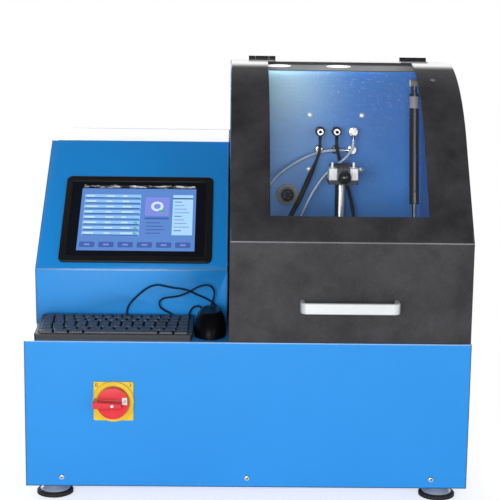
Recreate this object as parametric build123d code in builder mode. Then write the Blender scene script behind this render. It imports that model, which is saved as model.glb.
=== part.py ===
from build123d import *
import os
from math import atan2, cos, degrees, hypot, pi, radians, sin, sqrt, tan

os.makedirs("parts", exist_ok=True)

# Common rail injector test bench. Millimetres, +Z up, +X to the right, front towards -Y.
# The origin is on the floor under the middle of the machine.

# Whole case
body_width = 720.0
body_depth = 700.0
foot_height = 26.0
base_height = 242.0
sheet = 1.5
overrun = 5.0
screw_slack = 0.3
running_fit = 0.05
seat_gap = 0.3

# Bow handle, which reaches furthest to the front
handle_length = 158.0
handle_bar = 20.0
handle_thickness = 7.0
handle_reach = 34.0
handle_corner = 12.0
handle_drop = 102.0
handle_shift = -2.8

# Mains inlet, which reaches furthest to the rear
inlet_width = 50.0
inlet_height = 28.0
inlet_flange = 4.0
inlet_body_depth = 24.0
inlet_edge = 4.0
inlet_inset = 60.0
inlet_lift = 44.0
pin_length = 15.0
pin_thickness = 2.0
pin_height = 5.0
pin_spacing = 14.0
socket_wall = 8.0

front_y = -(body_depth + inlet_flange - handle_reach) / 2
back_y = front_y + body_depth
half_width = body_width / 2
deck_z = foot_height + base_height

# Levelling feet
foot_radius = 30.0
foot_bell_share = 0.8
foot_rubber_height = 8.0
foot_bell_top = 15.0
foot_bell_height = 12.0
foot_inset = 42.0
stud_radius = 6.0
stud_length = 40.0
foot_nut_radius = 10.0
foot_nut_height = 5.5

# Base cabinet
frame_lip = 20.0
front_screw_height = 15.5
front_screw_inset = 58.5
screw_radius = 2.5
screw_head_radius = 4.6
screw_head_height = 2.4
screw_length = 9.0
vent_length = 90.0
vent_height = 5.0
vent_pitch = 14.0
vent_count = 7
vent_inset = 120.0
deck_hole_radius = 22.0

# Console
console_to_middle = 34.5
shelf_depth = 136.0
console_lean = 6.0
console_crease = 94.0
console_slope_run = 232.0
console_slope_rise = 200.0
console_edge = 2.0
screen_opening_lap = 8.0
grommet_hole = 5.0
grommet_height = 8.4

# Hood
hood_gap = 3.0
hood_side_inset = 1.5
hood_bottom_gap = 1.5
hood_crease = 164.0
hood_slope_angle = 55.0
hood_arc_heading = 11.2
hood_arc_radius = 300.0
hood_top_radius = 60.0
hood_top = 443.0
hood_depth = 333.0
window_left = 64.5
window_right = 69.5
window_start = 47.0
window_heading = 4.0
window_lap = 6.0
window_thickness = 3.0
window_margin = 12.0

# Tower behind the hood
tower_gap = 5.5
tower_top_depth = 161.5
tower_left_gap = 1.5
tower_opening_margin = 23.0
tower_opening_lift = 80.0
tower_opening_drop = 33.0
tower_edge = 2.0

# Chamber lining
tub_inset = 40.0
tub_clearance = 16.0
tub_lip = 30.0
tub_top_drop = 18.0
tray_gap = 6.0
tray_height = 14.0
tray_sheet = 1.0
lamp_height = 12.0
lamp_depth = 12.0
lamp_drop = 17.0
lamp_side_gap = 6.0
lamp_lens_drop = 2.0

# Hinges
hinge_width = 48.0
hinge_left_inset = 55.0
hinge_right_inset = 63.0
hinge_leaf = 2.0
hinge_leaf_length = 21.0
hinge_knuckle_radius = 4.5
hinge_pin_radius = 2.0
hinge_side_gap = 0.5
hinge_rise = 0.3

# Quick couplers and lower hose fittings
coupler_pitch_z = 34.0
coupler_top_height = 318.5
coupler_nut_radius = 8.5
coupler_nut_length = 6.0
coupler_radius = 5.5
coupler_length = 33.0
coupler_short_length = 10.0
elbow_reach = 15.0
side_elbow_reach = 21.0
elbow_barb_radius = 3.0
coupler_thread = 12.0
sleeve_radius = 8.5
sleeve_length = 11.0
sleeve_offset = 12.5
sleeve_travel = 3.0
fitting_height = 103.0
fitting_rise = 15.0
panel_screw_spacing_x = 95.0
panel_screw_spacing_z = 99.0
panel_screw_lift = 247.5

# Signal socket
socket_inset = 64.5
socket_height = 200.5
socket_flange_radius = 20.0
socket_flange = 3.0
socket_shell_radius = 14.0
socket_shell_length = 10.0
socket_shell_wall = 2.0
socket_tail = 14.0
socket_pin_radius = 1.2
socket_pin_ring = 6.0
socket_pin_count = 5

# Injector clamp
clamp_shift = 1.8
clamp_front = 214.0
clamp_width = 51.5
clamp_plate = 8.0
clamp_plate_height = 233.0
clamp_yoke_height = 20.0
clamp_yoke_depth = 40.0
clamp_wall = 10.0
clamp_pillar = 14.0
clamp_carrier_width = 40.0
clamp_carrier_depth = 34.0
clamp_carrier_height = 31.0
clamp_edge = 1.0
post_radius = 10.0
post_height = 246.0
post_flange_radius = 28.0
post_flange = 8.0
jaw_depth = 8.0
jaw_travel = 8.0
jaw_notch = 9.0
clamp_screw_radius = 4.0
ball_radius = 12.0
ball_drop = 3.0
clamp_bolt_radius = 2.6
clamp_bolt_height = 9.5
clamp_washer_radius = 4.5
clamp_washer_height = 1.5
clamp_small_bolt_radius = 2.2
clamp_small_bolt_height = 3.5
clamp_small_bolt_spread = 3.0
spray_radius = 24.0
spray_height = 70.0
spray_bore = 9.0
spray_floor = 8.0
spray_neck_radius = 15.0
spray_neck_height = 14.0

# Gas strut
strut_wall_gap = 28.5
strut_top_depth = 265.0
strut_top_height = 408.0
strut_foot_depth = 200.0
strut_foot_height = 136.0
strut_tube_radius = 8.5
strut_tube_length = 195.0
strut_stem = 12.0
strut_stem_radius = 5.0
strut_rod_radius = 4.0
strut_cap = 10.0
strut_rod_inside = 112.0
strut_eye_radius = 7.0
strut_eye_width = 12.0
strut_pin_radius = 4.0
strut_pin_head = 6.5
strut_pin_head_width = 2.0
strut_foot_stem = 16.0
bracket_plate = 3.0
bracket_width = 28.0
bracket_length = 36.0
bracket_arm = 22.0
bracket_heading = 27.0

# Screen
bezel_left_margin = 37.0
bezel_right_margin = 27.5
bezel_height = 198.0
bezel_start = 14.3
bezel_thickness = 5.0
bezel_corner = 10.0
bezel_frame = 12.0
glass_recess = 2.0
glass_thickness = 2.5
screen_body_depth = 38.0
screen_edge = 1.0

# Main switch
switch_inset = 143.5
switch_height = 144.0
switch_plate_size = 64.0
switch_plate = 3.0
switch_plate_corner = 2.5
switch_ring_radius = 32.8
switch_ring = 4.0
knob_radius = 26.0
knob_disc = 12.0
knob_gap = 0.4
knob_bar_width = 11.0
knob_bar_tip = 7.0
knob_bar_left = 31.0
knob_bar_right = 15.0
knob_bar_height = 13.0
knob_edge = 1.5
spindle_radius = 4.0
switch_block_size = 46.0
switch_block_depth = 52.0

# Keyboard
keyboard_left = 14.0
keyboard_mouse_gap = 1.5
keyboard_front = 10.0
keyboard_depth = 112.0
keyboard_front_height = 9.0
keyboard_back_height = 19.0
keyboard_corner = 5.0
key_margin_side = 6.0
key_margin_front = 6.0
key_margin_back = 8.0
key_recess = 3.2
key_gap = 2.4
key_stand = 2.6
key_height = 3.4
key_travel = 2.0
key_taper = 0.7
key_groove = 2.6
key_stem = 3.0
key_row_count = 6
space_bar_keys = 5

# Mouse
mouse_gap = 1.0
mouse_front = 14.0
mouse_length = 99.0
mouse_width = 54.0
mouse_height = 40.0
mouse_dome = 11.0
mouse_button_share = 0.42
mouse_button_depth = 7.0
mouse_button_travel = 0.8
mouse_seam = 0.8
wheel_radius = 12.0
wheel_width = 6.0
wheel_lift = 2.5
wheel_axle = 1.6
wheel_place_share = 0.76

# Leads of keyboard and mouse, hoses in the chamber
lead_diameter = 3.0
lead_boot_radius = 2.6
lead_boot_length = 11.0
keyboard_boss_low = 3.0
thick_hose_diameter = 9.0
thin_hose_diameter = 6.0
bend_share = 0.45

# Drive in the base
motor_radius = 62.0
motor_length = 210.0
motor_foot_width = 120.0
motor_foot_height = 12.0
motor_depth = 360.0
motor_lift = 78.0
motor_left = 34.0
motor_fin_depth = 5.0
motor_fin_count = 24
motor_fin_width = 3.0
motor_flange = 14.0
shaft_radius = 12.0
shaft_bore_depth = 40.0
hub_radius = 30.0
hub_length = 26.0
hub_gap = 10.0
spider_radius = 24.0
pump_width = 90.0
pump_size = 104.0
pump_flange = 12.0
pump_flange_radius = 58.0
shaft_free = 8.0
pump_head = 26.0
pump_edge = 5.5
rail_radius = 15.0
rail_length = 300.0
rail_depth = 120.0
rail_drop = 60.0
rail_side_gap = 42.0
rail_outlet_radius = 7.0
rail_outlet_length = 12.0
rail_outlet_count = 4
rail_bracket_width = 26.0
rail_bracket_share = 0.4
rail_sensor_length = 24.0
rail_valve_radius = 12.0
tank_width = 190.0
tank_depth = 210.0
tank_height = 150.0
tank_wall = 3.0
tank_back_inset = 26.0
tank_side_inset = 70.0
tank_corner = 12.0
tank_neck_radius = 24.0
tank_neck_height = 14.0
tank_cap_radius = 28.0
tank_cap_height = 16.0
fan_size = 120.0
fan_depth = 25.0
fan_bore = 56.0
fan_hub_radius = 20.0
fan_inset = 180.0
fan_lift = 120.0
fan_blade_count = 7
fan_blade = 2.0
fan_blade_gap = 2.0
fan_blade_twist = 35.0
fan_chord_share = 0.8
fan_arm_width = 6.0
fan_arm_depth = 4.0
fan_pin_radius = 3.0
fan_slot = 5.0
fan_slot_pitch = 12.0
control_width = 170.0
control_depth = 120.0
control_height = 48.0
control_inset = 75.0
control_from_back = 150.0
control_fin_count = 12
control_fin = 2.5
control_fin_height = 7.0
rear_screw_inset = 14.0

# Places that several pieces share
console_left_x = -half_width
console_right_x = -console_to_middle
console_width = console_right_x - console_left_x
console_foot_y = front_y + shelf_depth
console_crease_y = console_foot_y - console_lean
console_crease_z = deck_z + console_crease
console_top_y = console_crease_y + console_slope_run
console_top_z = console_crease_z + console_slope_rise
slope_angle = degrees(atan2(console_slope_rise, console_slope_run))

hood_left_x = console_right_x + hood_gap
hood_right_x = half_width - hood_side_inset
hood_width = hood_right_x - hood_left_x
hood_middle_x = (hood_left_x + hood_right_x) / 2
hood_bottom_z = deck_z + hood_bottom_gap
hood_crease_z = deck_z + hood_crease
hood_top_z = deck_z + hood_top
hood_rear_y = front_y + hood_depth
hood_arc_rise = hood_arc_radius * (cos(radians(hood_arc_heading)) - cos(radians(hood_slope_angle)))
hood_top_rise = hood_top_radius * (1 - cos(radians(hood_arc_heading)))
hood_slope_rise = hood_top - hood_crease - hood_arc_rise - hood_top_rise
hood_slope_length = hood_slope_rise / sin(radians(hood_slope_angle))
tower_front_y = hood_rear_y + tower_gap
tower_left_x = hood_left_x - tower_left_gap
rear_plane_y = back_y - sheet

hinge_y = (hood_rear_y + tower_front_y) / 2
hinge_z = hood_top_z + hinge_knuckle_radius + hinge_rise

tub_left_x = hood_left_x + tub_inset
tub_right_x = hood_right_x - tub_inset
tub_back_y = tower_front_y - sheet
socket_x = tub_left_x + socket_inset
clamp_x = (tub_left_x + tub_right_x) / 2 + clamp_shift
strut_x = tub_right_x - strut_wall_gap
chamber_floor_z = deck_z + sheet
tray_floor_z = chamber_floor_z + tray_sheet
mouse_x = console_right_x - mouse_gap - mouse_width / 2
switch_x = console_left_x + switch_inset
fan_x = console_left_x + fan_inset
bezel_width = console_width - bezel_left_margin - bezel_right_margin
bezel_centre_x = console_left_x + bezel_left_margin + bezel_width / 2
grommet_y = console_foot_y - console_lean * grommet_height / console_crease
grommet_z = deck_z + grommet_height


def placed(route):
    """A route's points, given by depth behind the front, in the model's own frame."""
    return [(x, front_y + depth, z) for x, depth, z in route]


# Keyboard lead: up behind the keyboard, against the console, over and down into its grommet.
keyboard_lead_route = placed([
    (-205.5, 127.5, 281.0), (-205.5, 127.5, 289.5), (-203.0, 127.9, 299.0), (-196.8, 128.0, 308.2),
    (-188.0, 127.8, 317.0), (-177.0, 127.2, 327.0), (-165.5, 126.8, 334.5), (-153.5, 126.6, 337.6),
    (-141.5, 126.7, 335.3), (-128.0, 126.8, 332.3), (-113.5, 126.6, 331.0), (-100.5, 126.8, 328.0),
    (-87.5, 127.0, 321.3), (-74.0, 127.2, 315.8), (-62.0, 127.4, 309.6), (-53.8, 127.2, 302.4),
    (-49.0, 126.8, 293.2), (-47.6, 130.9, 285.4),
])
# Mouse lead: from the mouse's nose down behind the keyboard, up in a wide loop and back to its grommet.
mouse_lead_route = placed([
    (-66.0, 116.5, 284.0), (-71.0, 120.0, 290.4), (-76.4, 121.2, 298.2), (-84.4, 121.4, 302.8),
    (-92.8, 122.2, 300.4), (-97.4, 124.2, 292.4), (-101.0, 126.8, 283.6), (-108.6, 128.2, 278.4),
    (-118.0, 128.1, 280.0), (-126.5, 127.9, 285.0), (-134.5, 127.3, 290.0), (-143.4, 126.2, 294.2),
    (-150.0, 124.6, 300.8), (-149.6, 122.6, 310.6), (-141.2, 121.2, 316.2), (-129.5, 120.6, 317.4),
    (-116.5, 120.0, 319.4), (-104.5, 119.7, 324.0), (-93.5, 119.5, 330.6), (-82.5, 119.5, 336.8),
    (-71.0, 119.6, 339.4), (-61.2, 119.8, 336.6), (-56.2, 120.0, 328.0), (-57.6, 120.2, 317.0),
    (-60.8, 120.5, 306.4), (-63.6, 122.4, 296.8), (-64.4, 127.0, 289.2), (-65.0, 131.4, 282.6),
])
# Hoses of the chamber, each from a coupler's elbow to a fitting low on the back panel.
black_hose_left_route = placed([
    (129.5, 307.0, 571.5), (129.5, 307.0, 558.5), (127.2, 304.6, 545.0), (121.5, 301.0, 530.0),
    (113.5, 298.0, 512.0), (104.0, 295.5, 490.0), (95.0, 293.6, 468.0), (84.0, 295.0, 446.5),
    (74.5, 300.6, 426.0), (68.0, 307.0, 405.0), (68.0, 307.0, 386.0),
])
black_hose_right_route = placed([
    (159.5, 307.0, 571.5), (159.5, 307.0, 560.0), (162.6, 307.8, 547.5), (167.0, 310.4, 532.5),
    (172.6, 312.4, 515.0), (179.3, 312.4, 494.5), (186.0, 311.6, 471.5), (191.4, 310.6, 448.5),
    (194.2, 309.2, 427.0), (190.0, 307.0, 402.0), (190.0, 307.0, 386.0),
])
clear_hose_right_route = placed([
    (189.5, 307.0, 571.5), (189.5, 307.0, 562.5), (184.6, 304.2, 551.0), (176.5, 300.4, 541.0),
    (165.0, 298.0, 532.0), (152.5, 297.2, 523.0), (140.0, 297.0, 511.5), (130.0, 296.0, 498.5),
    (120.0, 294.6, 483.5), (110.5, 293.4, 466.0), (102.0, 293.4, 447.0), (94.0, 296.4, 428.0),
    (88.6, 301.8, 414.5), (86.0, 307.0, 401.0), (86.0, 307.0, 386.0),
])
clear_hose_left_route = placed([
    (174.5, 319.0, 552.5), (164.0, 319.0, 552.5), (147.0, 318.6, 552.0), (128.0, 318.0, 548.4),
    (108.0, 317.2, 541.0), (88.5, 315.8, 531.0), (70.5, 313.6, 519.6), (55.0, 311.0, 507.6),
    (42.5, 308.0, 493.6), (34.0, 305.0, 477.0), (31.0, 303.2, 457.6), (33.0, 303.2, 436.4),
    (39.5, 305.2, 415.0), (46.5, 307.0, 399.0), (48.0, 307.0, 386.0),
])
hose_routes = [black_hose_left_route, black_hose_right_route, clear_hose_right_route, clear_hose_left_route]
coupler_columns_x = [route[0][0] for route in hose_routes[0:3]]
fitting_places_x = [route[-1][0] for route in hose_routes]
panel_screw_x = coupler_columns_x[1]
grommet_places_x = [
    end[0] + (end[0] - before[0]) * (grommet_y - end[1]) / (end[1] - before[1])
    for before, end in (keyboard_lead_route[-2:], mouse_lead_route[-2:])
]


def hood_points(inset, bottom):
    """Corners and arc points of the hood's side outline, moved inwards by the inset."""
    a = radians(hood_slope_angle)
    b = radians(hood_arc_heading)
    edge = radians(window_heading)
    bend = (front_y, hood_crease_z)
    arc_start = (bend[0] + hood_slope_length * cos(a), bend[1] + hood_slope_length * sin(a))
    centre = (arc_start[0] + hood_arc_radius * sin(a), arc_start[1] - hood_arc_radius * cos(a))
    end_centre = (
        centre[0] - (hood_arc_radius - hood_top_radius) * sin(b),
        centre[1] + (hood_arc_radius - hood_top_radius) * cos(b),
    )

    def on_arc(middle, radius, heading):
        reach = radius - inset
        return (middle[0] - reach * sin(heading), middle[1] + reach * cos(heading))

    return {
        "foot": (front_y + inset, bottom),
        "bend": (bend[0] + inset, bend[1] - inset * (1 - sin(a)) / cos(a)),
        "slope_end": on_arc(centre, hood_arc_radius, a),
        "arc_middle": on_arc(centre, hood_arc_radius, (a + b) / 2),
        "arc_end": on_arc(centre, hood_arc_radius, b),
        "round_middle": on_arc(end_centre, hood_top_radius, b / 2),
        "round_end": on_arc(end_centre, hood_top_radius, 0),
        "window_edge": on_arc(end_centre, hood_top_radius, edge),
    }


def hood_line(inset, bottom, rear):
    """The hood's front, slope, curve and flat top as one open line."""
    p = hood_points(inset, bottom)
    Polyline(p["foot"], p["bend"], p["slope_end"])
    ThreePointArc(p["slope_end"], p["arc_middle"], p["arc_end"])
    ThreePointArc(p["arc_end"], p["round_middle"], p["round_end"])
    Line(p["round_end"], (rear, p["round_end"][1]))


def slope_point(along, inset):
    """A point on the hood's straight slope, measured from the crease."""
    a = radians(hood_slope_angle)
    return (
        front_y + along * cos(a) + inset * sin(a),
        hood_crease_z + along * sin(a) - inset * cos(a),
    )


def box_between(low, high, mode=Mode.ADD):
    """A box from its lowest to its highest corner."""
    size = [h - l for l, h in zip(low, high)]
    with Locations(tuple((l + h) / 2 for l, h in zip(low, high))):
        Box(*size, mode=mode)


def save(piece, label):
    piece.part.label = label
    export_step(piece.part, "parts/" + label + ".step")


# Base cabinet shell: floor, sides, back and deck in folded sheet, with a lip round the open front.
shell_front_y = front_y + sheet
foot_places = [
    (side * (half_width - foot_inset), y)
    for side in (-1, 1)
    for y in (front_y + foot_inset, back_y - foot_inset)
]
front_screw_x = [side * (half_width - front_screw_inset) for side in (-1, 0, 1)]
front_screw_z = foot_height + front_screw_height
inlet_x = -half_width + inlet_inset
inlet_z = foot_height + inlet_lift
fan_z = foot_height + fan_lift
with BuildPart() as base_shell:
    box_between((-half_width, shell_front_y, foot_height), (half_width, back_y, deck_z))
    box_between(
        (-half_width + sheet, shell_front_y + sheet, foot_height + sheet),
        (half_width - sheet, back_y - sheet, deck_z - sheet),
        Mode.SUBTRACT,
    )
    box_between(
        (-half_width + frame_lip, shell_front_y - overrun, foot_height + frame_lip),
        (half_width - frame_lip, shell_front_y + sheet + overrun, deck_z - frame_lip),
        Mode.SUBTRACT,
    )
    with Locations(*[(x, y, foot_height + sheet / 2) for x, y in foot_places]):
        Cylinder(stud_radius + screw_slack, sheet + overrun, mode=Mode.SUBTRACT)
    with Locations(*[(x, shell_front_y + sheet / 2, front_screw_z) for x in front_screw_x]):
        Cylinder(screw_radius + screw_slack, sheet + overrun, rotation=(90, 0, 0), mode=Mode.SUBTRACT)
    with Locations((hood_middle_x, (tower_front_y + rear_plane_y) / 2, deck_z)):
        Cylinder(deck_hole_radius, sheet * 2 + overrun, mode=Mode.SUBTRACT)
    vent_start = deck_z - vent_pitch * (vent_count + 1)
    for row in range(vent_count):
        with Locations((0, back_y - vent_inset, vent_start + row * vent_pitch)):
            Box(body_width + overrun, vent_length, vent_height, mode=Mode.SUBTRACT)
    hole_half_x = inlet_width / 2 - inlet_edge
    hole_half_z = inlet_height / 2 - inlet_edge
    box_between(
        (inlet_x - hole_half_x, back_y - sheet - overrun, inlet_z - hole_half_z),
        (inlet_x + hole_half_x, back_y + overrun, inlet_z + hole_half_z),
        Mode.SUBTRACT,
    )
    slot_rows = int(fan_size / fan_slot_pitch) - 1
    for row in range(slot_rows):
        slot_z = fan_z + (row - (slot_rows - 1) / 2) * fan_slot_pitch
        slot_half = sqrt(max((fan_bore - fan_slot) ** 2 - (slot_z - fan_z) ** 2, fan_slot**2))
        box_between(
            (fan_x - slot_half, back_y - sheet - overrun, slot_z - fan_slot / 2),
            (fan_x + slot_half, back_y + overrun, slot_z + fan_slot / 2),
            Mode.SUBTRACT,
        )
save(base_shell, "base_shell")

# Front panel of the base, held by three screws low down, with the hole of the main switch.
switch_z = foot_height + switch_height
with BuildPart() as base_front_panel:
    box_between((-half_width, front_y, foot_height), (half_width, front_y + sheet, deck_z))
    with Locations(*[(x, front_y + sheet / 2, front_screw_z) for x in front_screw_x]):
        Cylinder(screw_radius + screw_slack, sheet + overrun, rotation=(90, 0, 0), mode=Mode.SUBTRACT)
    with Locations((switch_x, front_y + sheet / 2, switch_z)):
        Cylinder(spindle_radius * 2, sheet + overrun, rotation=(90, 0, 0), mode=Mode.SUBTRACT)
save(base_front_panel, "base_front_panel")

# Levelling feet: a rubber pad each, and a metal bell on a threaded stud with its nut.
with BuildPart() as foot_pads:
    with Locations(*[(x, y, foot_rubber_height / 2) for x, y in foot_places]):
        Cylinder(foot_radius, foot_rubber_height)
    chamfer(foot_pads.edges().group_by(Axis.Z)[-1], foot_rubber_height / 4)
save(foot_pads, "foot_pads")

with BuildPart() as foot_studs:
    for x, y in foot_places:
        with Locations((x, y, foot_rubber_height + foot_bell_height / 2)):
            Cone(foot_radius * foot_bell_share, foot_bell_top, foot_bell_height)
        with Locations((x, y, foot_rubber_height + stud_length / 2)):
            Cylinder(stud_radius, stud_length)
        with BuildSketch(Plane.XY.offset(foot_height - foot_nut_height)):
            with Locations((x, y)):
                RegularPolygon(foot_nut_radius, 6)
        extrude(amount=foot_nut_height)
save(foot_studs, "foot_studs")

# Screws of the case: three in the front panel, ten in the rear panel, four in the chamber's back.
rear_screw_low = deck_z + rear_screw_inset
rear_screw_high = console_top_z - rear_screw_inset
rear_screws = [
    (side * (half_width - rear_screw_inset), z)
    for side in (-1, 1)
    for z in (rear_screw_low, (rear_screw_low + rear_screw_high) / 2, rear_screw_high)
]
rear_screws += [
    (side * (half_width - rear_screw_inset) / 3, z)
    for side in (-1, 1)
    for z in (rear_screw_low, rear_screw_high)
]
panel_screws = [
    (panel_screw_x + sx * panel_screw_spacing_x / 2, deck_z + panel_screw_lift + panel_screw_spacing_z * sz)
    for sx in (-1, 1)
    for sz in (0, 1)
]


def machine_screw(x, face, z, outward):
    """A pan-head screw whose head stands on a face of constant Y."""
    with Locations((x, face + outward * screw_head_height / 2, z)):
        Cylinder(screw_head_radius, screw_head_height, rotation=(90, 0, 0))
    with Locations((x, face - outward * screw_length / 2, z)):
        Cylinder(screw_radius, screw_length, rotation=(90, 0, 0))


with BuildPart() as case_screws:
    for x in front_screw_x:
        machine_screw(x, front_y, front_screw_z, -1)
    for x, z in rear_screws:
        machine_screw(x, back_y, z, 1)
    for x, z in panel_screws:
        machine_screw(x, tub_back_y, z, -1)
save(case_screws, "case_screws")

# Console cover: upright lower panel, sloped screen panel, flat top and two sides, open below and behind.
slope_plane = Plane(
    origin=(bezel_centre_x, console_crease_y, console_crease_z),
    x_dir=(1, 0, 0),
    z_dir=(0, -sin(radians(slope_angle)), cos(radians(slope_angle))),
)
bezel_middle = bezel_start + bezel_height / 2


def side_outline(points):
    """A filled outline with straight sides, in the active sketch's own coordinates."""
    Polygon(*points, align=None)


with BuildPart() as console_cover:
    with BuildSketch(Plane.YZ.offset(console_left_x)):
        side_outline([
            (console_foot_y, deck_z),
            (console_crease_y, console_crease_z),
            (console_top_y, console_top_z),
            (rear_plane_y, console_top_z),
            (rear_plane_y, deck_z),
        ])
    extrude(amount=console_width)
    fillet(console_cover.edges().filter_by(Axis.X).group_by(Axis.Z)[-1].sort_by(Axis.Y)[0], console_edge * 2)
    lean = sheet / sin(radians(slope_angle))
    with BuildSketch(Plane.YZ.offset(console_left_x + sheet)):
        side_outline([
            (console_foot_y + sheet, deck_z - overrun),
            (console_crease_y + sheet, console_crease_z - sheet / 3),
            (console_top_y + sheet / 2, console_top_z - sheet),
            (back_y + overrun, console_top_z - sheet),
            (back_y + overrun, deck_z - overrun),
        ])
    extrude(amount=console_width - 2 * sheet, mode=Mode.SUBTRACT)
    with BuildSketch(slope_plane):
        with Locations((0, bezel_middle)):
            Rectangle(bezel_width - 2 * screen_opening_lap, bezel_height - 2 * screen_opening_lap)
    extrude(amount=-sheet * 3, both=True, mode=Mode.SUBTRACT)
    with Locations(*[(x, console_foot_y, grommet_z) for x in grommet_places_x]):
        Cylinder(grommet_hole, console_lean * 2, rotation=(90, 0, 0), mode=Mode.SUBTRACT)
save(console_cover, "console_cover")

# Rubber grommets low on the console's upright panel, each with a boot that meets its lead's end.
grommet_lip = 1.2
panel_lean = atan2(console_lean, console_crease)
with BuildPart() as cable_grommets:
    for route in (keyboard_lead_route, mouse_lead_route):
        end = Vector(*route[-1])
        way = (end - Vector(*route[-2])).normalized()
        reach = (grommet_y - end.Y) / way.Y
        seat = end + way * reach
        with BuildSketch(Plane(origin=end, z_dir=way)):
            Circle(lead_boot_radius)
        extrude(amount=reach + grommet_lip)
        forward = (0, -cos(panel_lean), -sin(panel_lean))
        face = Plane(origin=(seat.X, grommet_y, grommet_z), x_dir=(1, 0, 0), z_dir=forward)
        with BuildSketch(face):
            Circle(grommet_hole * 2)
        extrude(amount=-grommet_hole, mode=Mode.SUBTRACT)
        with BuildSketch(face):
            Circle(grommet_hole + grommet_lip * 2)
        extrude(amount=grommet_lip)
        with BuildSketch(Plane(origin=(seat.X, grommet_y, grommet_z), x_dir=(1, 0, 0), z_dir=(0, 1, 0))):
            Circle(grommet_hole - seat_gap)
        extrude(amount=sheet * 3)
save(cable_grommets, "cable_grommets")

# Tower cover behind the hood: full height at its front, console height behind, open below and behind.
tower_step_y = tower_front_y + tower_top_depth
with BuildPart() as tower_cover:
    with BuildSketch(Plane.YZ.offset(tower_left_x)):
        side_outline([
            (tower_front_y, deck_z),
            (tower_front_y, hood_top_z),
            (tower_step_y, hood_top_z),
            (tower_step_y, console_top_z),
            (rear_plane_y, console_top_z),
            (rear_plane_y, deck_z),
        ])
    extrude(amount=half_width - tower_left_x)
    fillet(tower_cover.edges().filter_by(Axis.X).group_by(Axis.Z)[-1].sort_by(Axis.Y)[-1], tower_edge)
    with BuildSketch(Plane.YZ.offset(tower_left_x + sheet)):
        side_outline([
            (tower_front_y + sheet, deck_z - overrun),
            (tower_front_y + sheet, hood_top_z - sheet),
            (tower_step_y - sheet, hood_top_z - sheet),
            (tower_step_y - sheet, console_top_z - sheet),
            (back_y + overrun, console_top_z - sheet),
            (back_y + overrun, deck_z - overrun),
        ])
    extrude(amount=half_width - tower_left_x - 2 * sheet, mode=Mode.SUBTRACT)
    box_between(
        (tub_left_x + tower_opening_margin, tower_front_y - overrun, deck_z + tower_opening_lift),
        (tub_right_x - tower_opening_margin, tower_front_y + overrun, hood_top_z - tower_opening_drop),
        Mode.SUBTRACT,
    )
save(tower_cover, "tower_cover")

# Rear panel with louvre slots, screwed on behind the console and the tower.
with BuildPart() as rear_panel:
    box_between((-half_width, rear_plane_y, deck_z), (half_width, back_y, console_top_z))
    with Locations(*[(x, back_y - sheet / 2, z) for x, z in rear_screws]):
        Cylinder(screw_radius + screw_slack, sheet + overrun, rotation=(90, 0, 0), mode=Mode.SUBTRACT)
    louvre_z = deck_z + console_crease
    for side in (-1, 1):
        for row in range(vent_count):
            with Locations((side * body_width / 4, back_y - sheet / 2, louvre_z + row * vent_pitch)):
                Box(vent_length * 2, sheet + overrun, vent_height, mode=Mode.SUBTRACT)
save(rear_panel, "rear_panel")

# Chamber lining: back, floor and two side walls under the hood, with a low lip at the front.
tub_top_z = hood_top_z - tub_top_drop
with BuildPart() as chamber_tub:
    tub_line = hood_points(tub_clearance, deck_z)
    with BuildSketch(Plane.YZ.offset(tub_left_x - sheet)):
        with BuildLine():
            Polyline(tub_line["foot"], tub_line["bend"], tub_line["slope_end"])
            ThreePointArc(tub_line["slope_end"], tub_line["arc_middle"], tub_line["arc_end"])
            Polyline(
                tub_line["arc_end"],
                (tub_line["round_end"][0], tub_top_z),
                (tower_front_y, tub_top_z),
                (tower_front_y, deck_z),
                tub_line["foot"],
            )
        make_face()
    extrude(amount=tub_right_x - tub_left_x + 2 * sheet)
    tub_front_y = front_y + tub_clearance
    with BuildSketch(Plane.YZ.offset(tub_left_x)):
        side_outline([
            (tub_front_y + sheet, chamber_floor_z),
            (tub_front_y + sheet, deck_z + tub_lip),
            (tub_front_y - overrun, deck_z + tub_lip),
            (tub_front_y - overrun, hood_top_z),
            (tub_back_y, hood_top_z),
            (tub_back_y, chamber_floor_z),
        ])
    extrude(amount=tub_right_x - tub_left_x, mode=Mode.SUBTRACT)
    with Locations(*[(x, tub_back_y, z) for x, z in panel_screws]):
        Cylinder(screw_radius + screw_slack, sheet + overrun * 2, rotation=(90, 0, 0), mode=Mode.SUBTRACT)
    coupler_top_z = deck_z + coupler_top_height
    coupler_places = [
        (x, coupler_top_z - row * coupler_pitch_z, row, column)
        for row in (0, 1)
        for column, x in enumerate(coupler_columns_x)
    ]
    fitting_z = deck_z + fitting_height
    thread_places = [(x, tub_back_y, z) for x, z, row, column in coupler_places]
    thread_places += [(x, tub_back_y, fitting_z) for x in fitting_places_x]
    with Locations(*thread_places):
        Cylinder(coupler_radius + screw_slack, sheet + overrun * 2, rotation=(90, 0, 0), mode=Mode.SUBTRACT)
    socket_hole = socket_shell_radius + screw_slack
    with Locations((socket_x, tub_back_y, deck_z + socket_height)):
        Cylinder(socket_hole, sheet + overrun * 2, rotation=(90, 0, 0), mode=Mode.SUBTRACT)
save(chamber_tub, "chamber_tub")

# Lamp bar across the top of the chamber: a grey channel with a lens below.
with BuildPart() as lamp_bar:
    box_between(
        (hood_left_x + lamp_side_gap, tower_front_y - lamp_depth, hood_top_z - lamp_drop),
        (hood_right_x - lamp_side_gap, tower_front_y, hood_top_z - lamp_drop + lamp_height),
    )
    fillet(lamp_bar.edges().filter_by(Axis.X).sort_by(Axis.Y)[0:2], lamp_lens_drop)
save(lamp_bar, "lamp_bar")

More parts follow.
